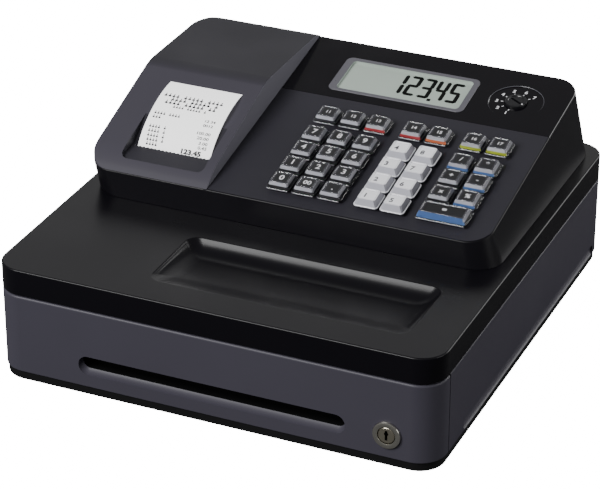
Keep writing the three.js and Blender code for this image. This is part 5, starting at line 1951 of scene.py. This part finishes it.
@dataclass
class Drawer:
    """Drawer front, lock and what lies behind the front."""

    half_depth: float = 172.5
    z: Span = (6.5, 65.8)
    wall: float = 3.0
    return_y: float = -150.7
    slot_x: float = 98.5
    slot_z: Span = (16.2, 30.5)
    slot_corner: float = 6.85
    mouth_play: float = 0.2
    scoop_draw: float = 0.4
    # Facing of the slot's ceiling, which is painted near-black as painted shade
    painted_shade_facing: float = 0.5
    pocket_depth: float = 14.0
    pocket_round: float = 5.0
    pocket_wall: float = 2.4
    headroom: float = 6.0
    lower_edge: float = 0.9
    upper_edge: float = 1.8
    scoop: tuple[tuple[float, float], ...] = (
        (6.0, 2.9), (5.0, 2.9), (4.2, 2.1), (3.2, 1.35), (2.2, 0.75), (1.2, 0.3), (0.3, 0.05), (0.0, 0.0),
        (-2.0, 0.0))
    lock: tuple[float, float] = (128.3, 24.3)
    lock_bore: float = 12.0
    bezel_radius: float = 10.0
    bezel_proud: float = 2.0
    barrel_radius: float = 8.0
    barrel_reach: float = 15.0
    plug_radius: float = 5.8
    plug_sink: float = 0.5
    cam: tuple[float, float, float] = (32.0, 8.0, 2.0)
    cam_turn: float = -55.0

    def mouth(self) -> Form:
        """The mouth of the finger slot, its floor rising inwards as a scoop.

        Returns:
            The mouth, to cut with.
        """
        outlines = []
        for depth, lift in self.scoop:
            low, high = self.slot_z[0] + lift, self.slot_z[1]
            radius = min(self.slot_corner, (high - low) / 2 - self.mouth_play)
            half = self.slot_x - lift * self.scoop_draw
            outlines.append(even_outline((-half, half), (low, high), radius, self.half_depth - depth))
        form = Form.loft(outlines, 8).moved(Matrix.Rotation(math.pi / 2, 4, "X"))
        # The slot's ceiling, the cutter's upward faces, is painted near-black as painted shade
        return form.tinted(1, lambda face: face.normal.z > self.painted_shade_facing)

    def front(self, finishes: Finishes, base: CaseBase) -> bpy.types.Object:
        """The grey drawer front with its corner returns and finger slot.

        Args:
            finishes: The register's finishes.
            base: The case whose outline it follows.

        Returns:
            The finished piece.
        """
        form = base.prism(0.0, self.z)
        form.softened(on_level(self.z[0]), self.lower_edge, 4).softened(on_level(self.z[1]), self.upper_edge, 5)
        low, high = self.z[0] - CUT_OVER, self.z[1] + CUT_OVER
        form.cut(base.prism(self.wall, (low, high)))
        form.cut(Form.block((-FAR, FAR), (self.return_y, FAR), (low, high)))
        back = self.wall - self.half_depth
        box = Form.block(
            (-self.slot_x - self.pocket_wall, self.slot_x + self.pocket_wall),
            (back - self.wall / 2, back + self.pocket_depth + self.pocket_wall),
            (self.slot_z[0] - self.pocket_wall, self.slot_z[1] + self.headroom + self.pocket_wall))
        form.joined(box)
        start, lift = self.scoop[1]
        floor, ceiling, near = self.slot_z[0] + lift, self.slot_z[1] + self.headroom, start - self.half_depth
        far = back + self.pocket_depth
        points = [(near, floor), (far, floor), (far, ceiling), (near, ceiling)]
        inside = self.slot_x - lift * self.scoop_draw
        # The pocket behind the finger slot is painted near-black as painted shade
        form.cut(Form.prism(points, (-inside, inside), rounds={1: self.pocket_round}).painted(1), self.mouth())
        x, z = self.lock
        form.cut(Form.rod(Axis.Y, (x, -self.half_depth, z), self.barrel_radius + GAP, self.lock_bore, 48))
        return form.piece(
            "drawer_front", [finishes["case_grey"], finishes["slot_painted_shade"]], Body.DRAWER.value, "body", ["drawer_front"])

    def lock_parts(self, finishes: Finishes) -> None:
        """The plated bezel with its barrel, and the plug with key slot and cam.

        Args:
            finishes: The register's finishes.
        """
        x, z = self.lock
        seat = Matrix.Translation((x, -self.half_depth, z)) @ Matrix.Rotation(math.pi / 2, 4, "X")
        bore = self.plug_radius + GAP
        bezel = Form.turned([
            (bore, -self.barrel_reach), (self.barrel_radius, -self.barrel_reach), (self.barrel_radius, GAP),
            (self.bezel_radius, GAP), (self.bezel_radius, self.bezel_proud - 1.1),
            (self.bezel_radius - 0.35, self.bezel_proud - 0.35), (self.bezel_radius - 1.1, self.bezel_proud),
            (bore + 1.2, self.bezel_proud), (bore + 0.3, self.bezel_proud - 0.3), (bore, self.bezel_proud - 0.9),
            (bore, -self.barrel_reach)], 64)
        bezel.moved(seat).piece("lock_bezel", [finishes["plated_bezel"]], Body.DRAWER.value, "chrome", ["lock_bezel"])
        face = self.bezel_proud - self.plug_sink
        back = -self.barrel_reach - GAP
        reach, width, thickness = self.cam
        plug = Form.turned([
            (0.0, back - thickness), (self.plug_radius, back - thickness), (self.plug_radius, face - 0.3),
            (self.plug_radius - 0.3, face), (0.0, face)], 48)
        cam = Form.block((-width / 2, width / 2), (-width / 2, reach), (back - thickness, back))
        plug.joined(cam.moved(Matrix.Rotation(math.radians(self.cam_turn), 4, "Z")))
        # The key slot and pin hole are painted near-black as painted shade
        slot = Form.block((-0.9, 0.9), (-3.6, 3.6), (face - 4.0, face + 1.0)).painted(1)
        plug.cut(slot, Form.rod(Axis.Z, (0.0, 1.2, face), 1.5, 8.0, 20).painted(1))
        plug.moved(seat).piece(
            "lock_plug", [finishes["plated_plug"], finishes["slot_painted_shade"]], Body.LOCK_PLUG.value, "brass", ["lock_plug"])


@dataclass
class PaperSupply:
    """Paper roll and platen under the printer cover."""

    roll_centre: tuple[float, float, float] = (-100.8, 90.0, 104.24)
    roll_radius: float = 33.0
    core_radius: float = 6.5
    width: float = 57.5
    platen_centre: tuple[float, float, float] = (-100.8, -9.58, 101.0)
    platen_radius: float = 7.0
    shaft_radius: float = 2.5
    shaft_reach: float = 6.6

    def build(self, finishes: Finishes) -> None:
        """Make the roll and the platen.

        Args:
            finishes: The register's finishes.
        """
        lay = Matrix.Rotation(math.pi / 2, 4, "Y")
        half = self.width / 2
        roll = Form.turned([
            (self.core_radius, -half), (self.roll_radius, -half), (self.roll_radius, half),
            (self.core_radius, half), (self.core_radius, -half)], 96)
        roll.moved(Matrix.Translation(self.roll_centre) @ lay).piece(
            "paper_roll", [finishes["roll_paper"]], Body.PAPER_ROLL.value, "paper", ["paper_roll"])
        end = half + self.shaft_reach
        platen = Form.turned([
            (0.0, -end), (self.shaft_radius, -end), (self.shaft_radius, -half), (self.platen_radius, -half),
            (self.platen_radius, half), (self.shaft_radius, half), (self.shaft_radius, end), (0.0, end)], 48)
        platen.moved(Matrix.Translation(self.platen_centre) @ lay).piece(
            "platen", [finishes["platen_rubber"]], Body.PLATEN.value, "platen", ["platen_roller"])


@dataclass
class CarriedNodes:
    """CAD nodes whose shape stays, with the finish that each one takes."""

    finish_of: dict[str, str] = field(default_factory=lambda: {
        "foot_front_left": "foot_rubber", "foot_front_right": "foot_rubber", "foot_rear_left": "foot_rubber",
        "foot_rear_right": "foot_rubber", "circuit_board": "board_green", "printer_frame": "frame_plastic",
        "paper_web": "roll_paper", "drawer_tray": "tray_plastic", "coin_insert": "insert_plastic",
        "bill_clip_1": "clip_plastic", "bill_clip_2": "clip_plastic", "bill_clip_3": "clip_plastic",
    })

    def dress(self, finishes: Finishes) -> None:
        """Give each node its material.

        Args:
            finishes: The register's finishes.
        """
        for node, finish in self.finish_of.items():
            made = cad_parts[node]
            made.data.materials.clear()
            made.data.materials.append(finishes[finish])
            LOG.info("%s: CAD node with %s", node, finish)


@dataclass(frozen=True)
class Lamp:
    """A soft rectangular lamp."""

    name: str
    place: tuple[float, float, float]
    size: Span
    power: float
    aim: tuple[float, float, float] = (0.0, 0.0, 0.08)


@dataclass
class Studio:
    """Floor, lights and the camera at the photograph's angle."""

    lens: float = 157.0
    sensor: float = 36.0
    place: tuple[float, float, float] = (0.659395, -1.514625, 0.936514)
    right: tuple[float, float, float] = (0.91483358, 0.40383105, 0.0)
    up: tuple[float, float, float] = (-0.19009879, 0.43064731, 0.88227283)
    forward: tuple[float, float, float] = (-0.35628916, 0.80713281, -0.47073842)
    floor_size: float = 8.0
    floor_glow: float = 16.0
    floor_seen: float = 0.93
    floor_mirrored: float = 0.1
    ambient: float = 0.22
    lamps: tuple[Lamp, ...] = (
        Lamp("front_left", (-0.93, -1.83, 1.68), (1.5, 1.2), 93.0),
        Lamp("right_side", (2.3, 0.1, 0.8), (1.2, 1.0), 13.0),
        Lamp("rear_right", (1.2, 1.65, 0.68), (1.2, 1.2), 21.0),
        Lamp("rear_left", (-0.97, 2.08, 1.3), (1.7, 1.0), 3.7),
    )

    def camera(self) -> None:
        """Set the camera."""
        data = bpy.data.cameras.new("camera")
        data.lens = self.lens
        data.sensor_width = self.sensor
        data.sensor_fit = "HORIZONTAL"
        data.clip_end = 50.0
        made = bpy.data.objects.new("camera", data)
        turn = Matrix((self.right, self.up, [-value for value in self.forward])).transposed().to_4x4()
        made.matrix_world = Matrix.Translation(self.place) @ turn
        bpy.context.scene.collection.objects.link(made)
        bpy.context.scene.camera = made

    def floor(self) -> None:
        """Lay the plain white floor, bright to the eye and soft in its shadows."""
        bench = NodeBench("floor_white")
        bench.shader.inputs["Roughness"].default_value = 0.9
        bench.shader.inputs["Specular IOR Level"].default_value = 0.1
        bench.shader.inputs["Emission Color"].default_value = (1.0, 1.0, 1.0, 1.0)
        seen = bench.tree.nodes.new("ShaderNodeLightPath")
        bench.tint(
            seen.outputs["Is Camera Ray"], (self.floor_mirrored,) * 3, (self.floor_seen,) * 3,
            bench.shader.inputs["Base Color"])
        lift = bench.tree.nodes.new("ShaderNodeMath")
        lift.operation = "MULTIPLY"
        lift.inputs[1].default_value = self.floor_glow
        bench.link(seen.outputs["Is Camera Ray"], lift.inputs[0])
        bench.link(lift.outputs["Value"], bench.shader.inputs["Emission Strength"])
        bm = bmesh.new()
        bmesh.ops.create_grid(bm, x_segments=1, y_segments=1, size=self.floor_size)
        mesh = bpy.data.meshes.new("floor")
        bm.to_mesh(mesh)
        bm.free()
        mesh.materials.append(bench.material)
        made = bpy.data.objects.new("floor", mesh)
        bpy.context.scene.collection.objects.link(made)

    def lamp(self, lamp: Lamp) -> None:
        """Hang a soft rectangular lamp that looks at the middle of the register.

        Args:
            lamp: The lamp.
        """
        data = bpy.data.lights.new(lamp.name, "AREA")
        data.shape = "RECTANGLE"
        data.size, data.size_y = lamp.size
        data.energy = lamp.power
        made = bpy.data.objects.new(lamp.name, data)
        made.location = lamp.place
        made.rotation_euler = (Vector(lamp.aim) - Vector(lamp.place)).to_track_quat("-Z", "Y").to_euler()
        bpy.context.scene.collection.objects.link(made)

    def build(self) -> None:
        """Set up the studio."""
        self.camera()
        self.floor()
        world = bpy.data.worlds.new("studio")
        world.use_nodes = True
        background = world.node_tree.nodes["Background"]
        background.inputs["Color"].default_value = (1.0, 1.0, 1.0, 1.0)
        background.inputs["Strength"].default_value = self.ambient
        bpy.context.scene.world = world
        for lamp in self.lamps:
            self.lamp(lamp)


def main() -> None:
    """Build the register, piece by piece."""
    logging.basicConfig(level=logging.INFO, format="%(name)s %(message)s")
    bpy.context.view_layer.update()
    finishes = Finishes()
    Studio().build()
    base = CaseBase()
    base.pan(finishes)
    base.shell(finishes)
    base.cover(finishes)
    keyboard = Keyboard()
    places = keyboard.places()
    housing = UpperHousing()
    housing.housing(finishes, places)
    housing.display_panel(finishes)
    keyboard.build(finishes, places)
    DisplayModule().build(finishes)
    ModeSwitch().build(finishes)
    printer = PrinterCover()
    printer.cover(finishes)
    printer.slip(finishes)
    drawer = Drawer()
    drawer.front(finishes, base)
    drawer.lock_parts(finishes)
    PaperSupply().build(finishes)
    CarriedNodes().dress(finishes)


if __name__ == "__main__":
    main()
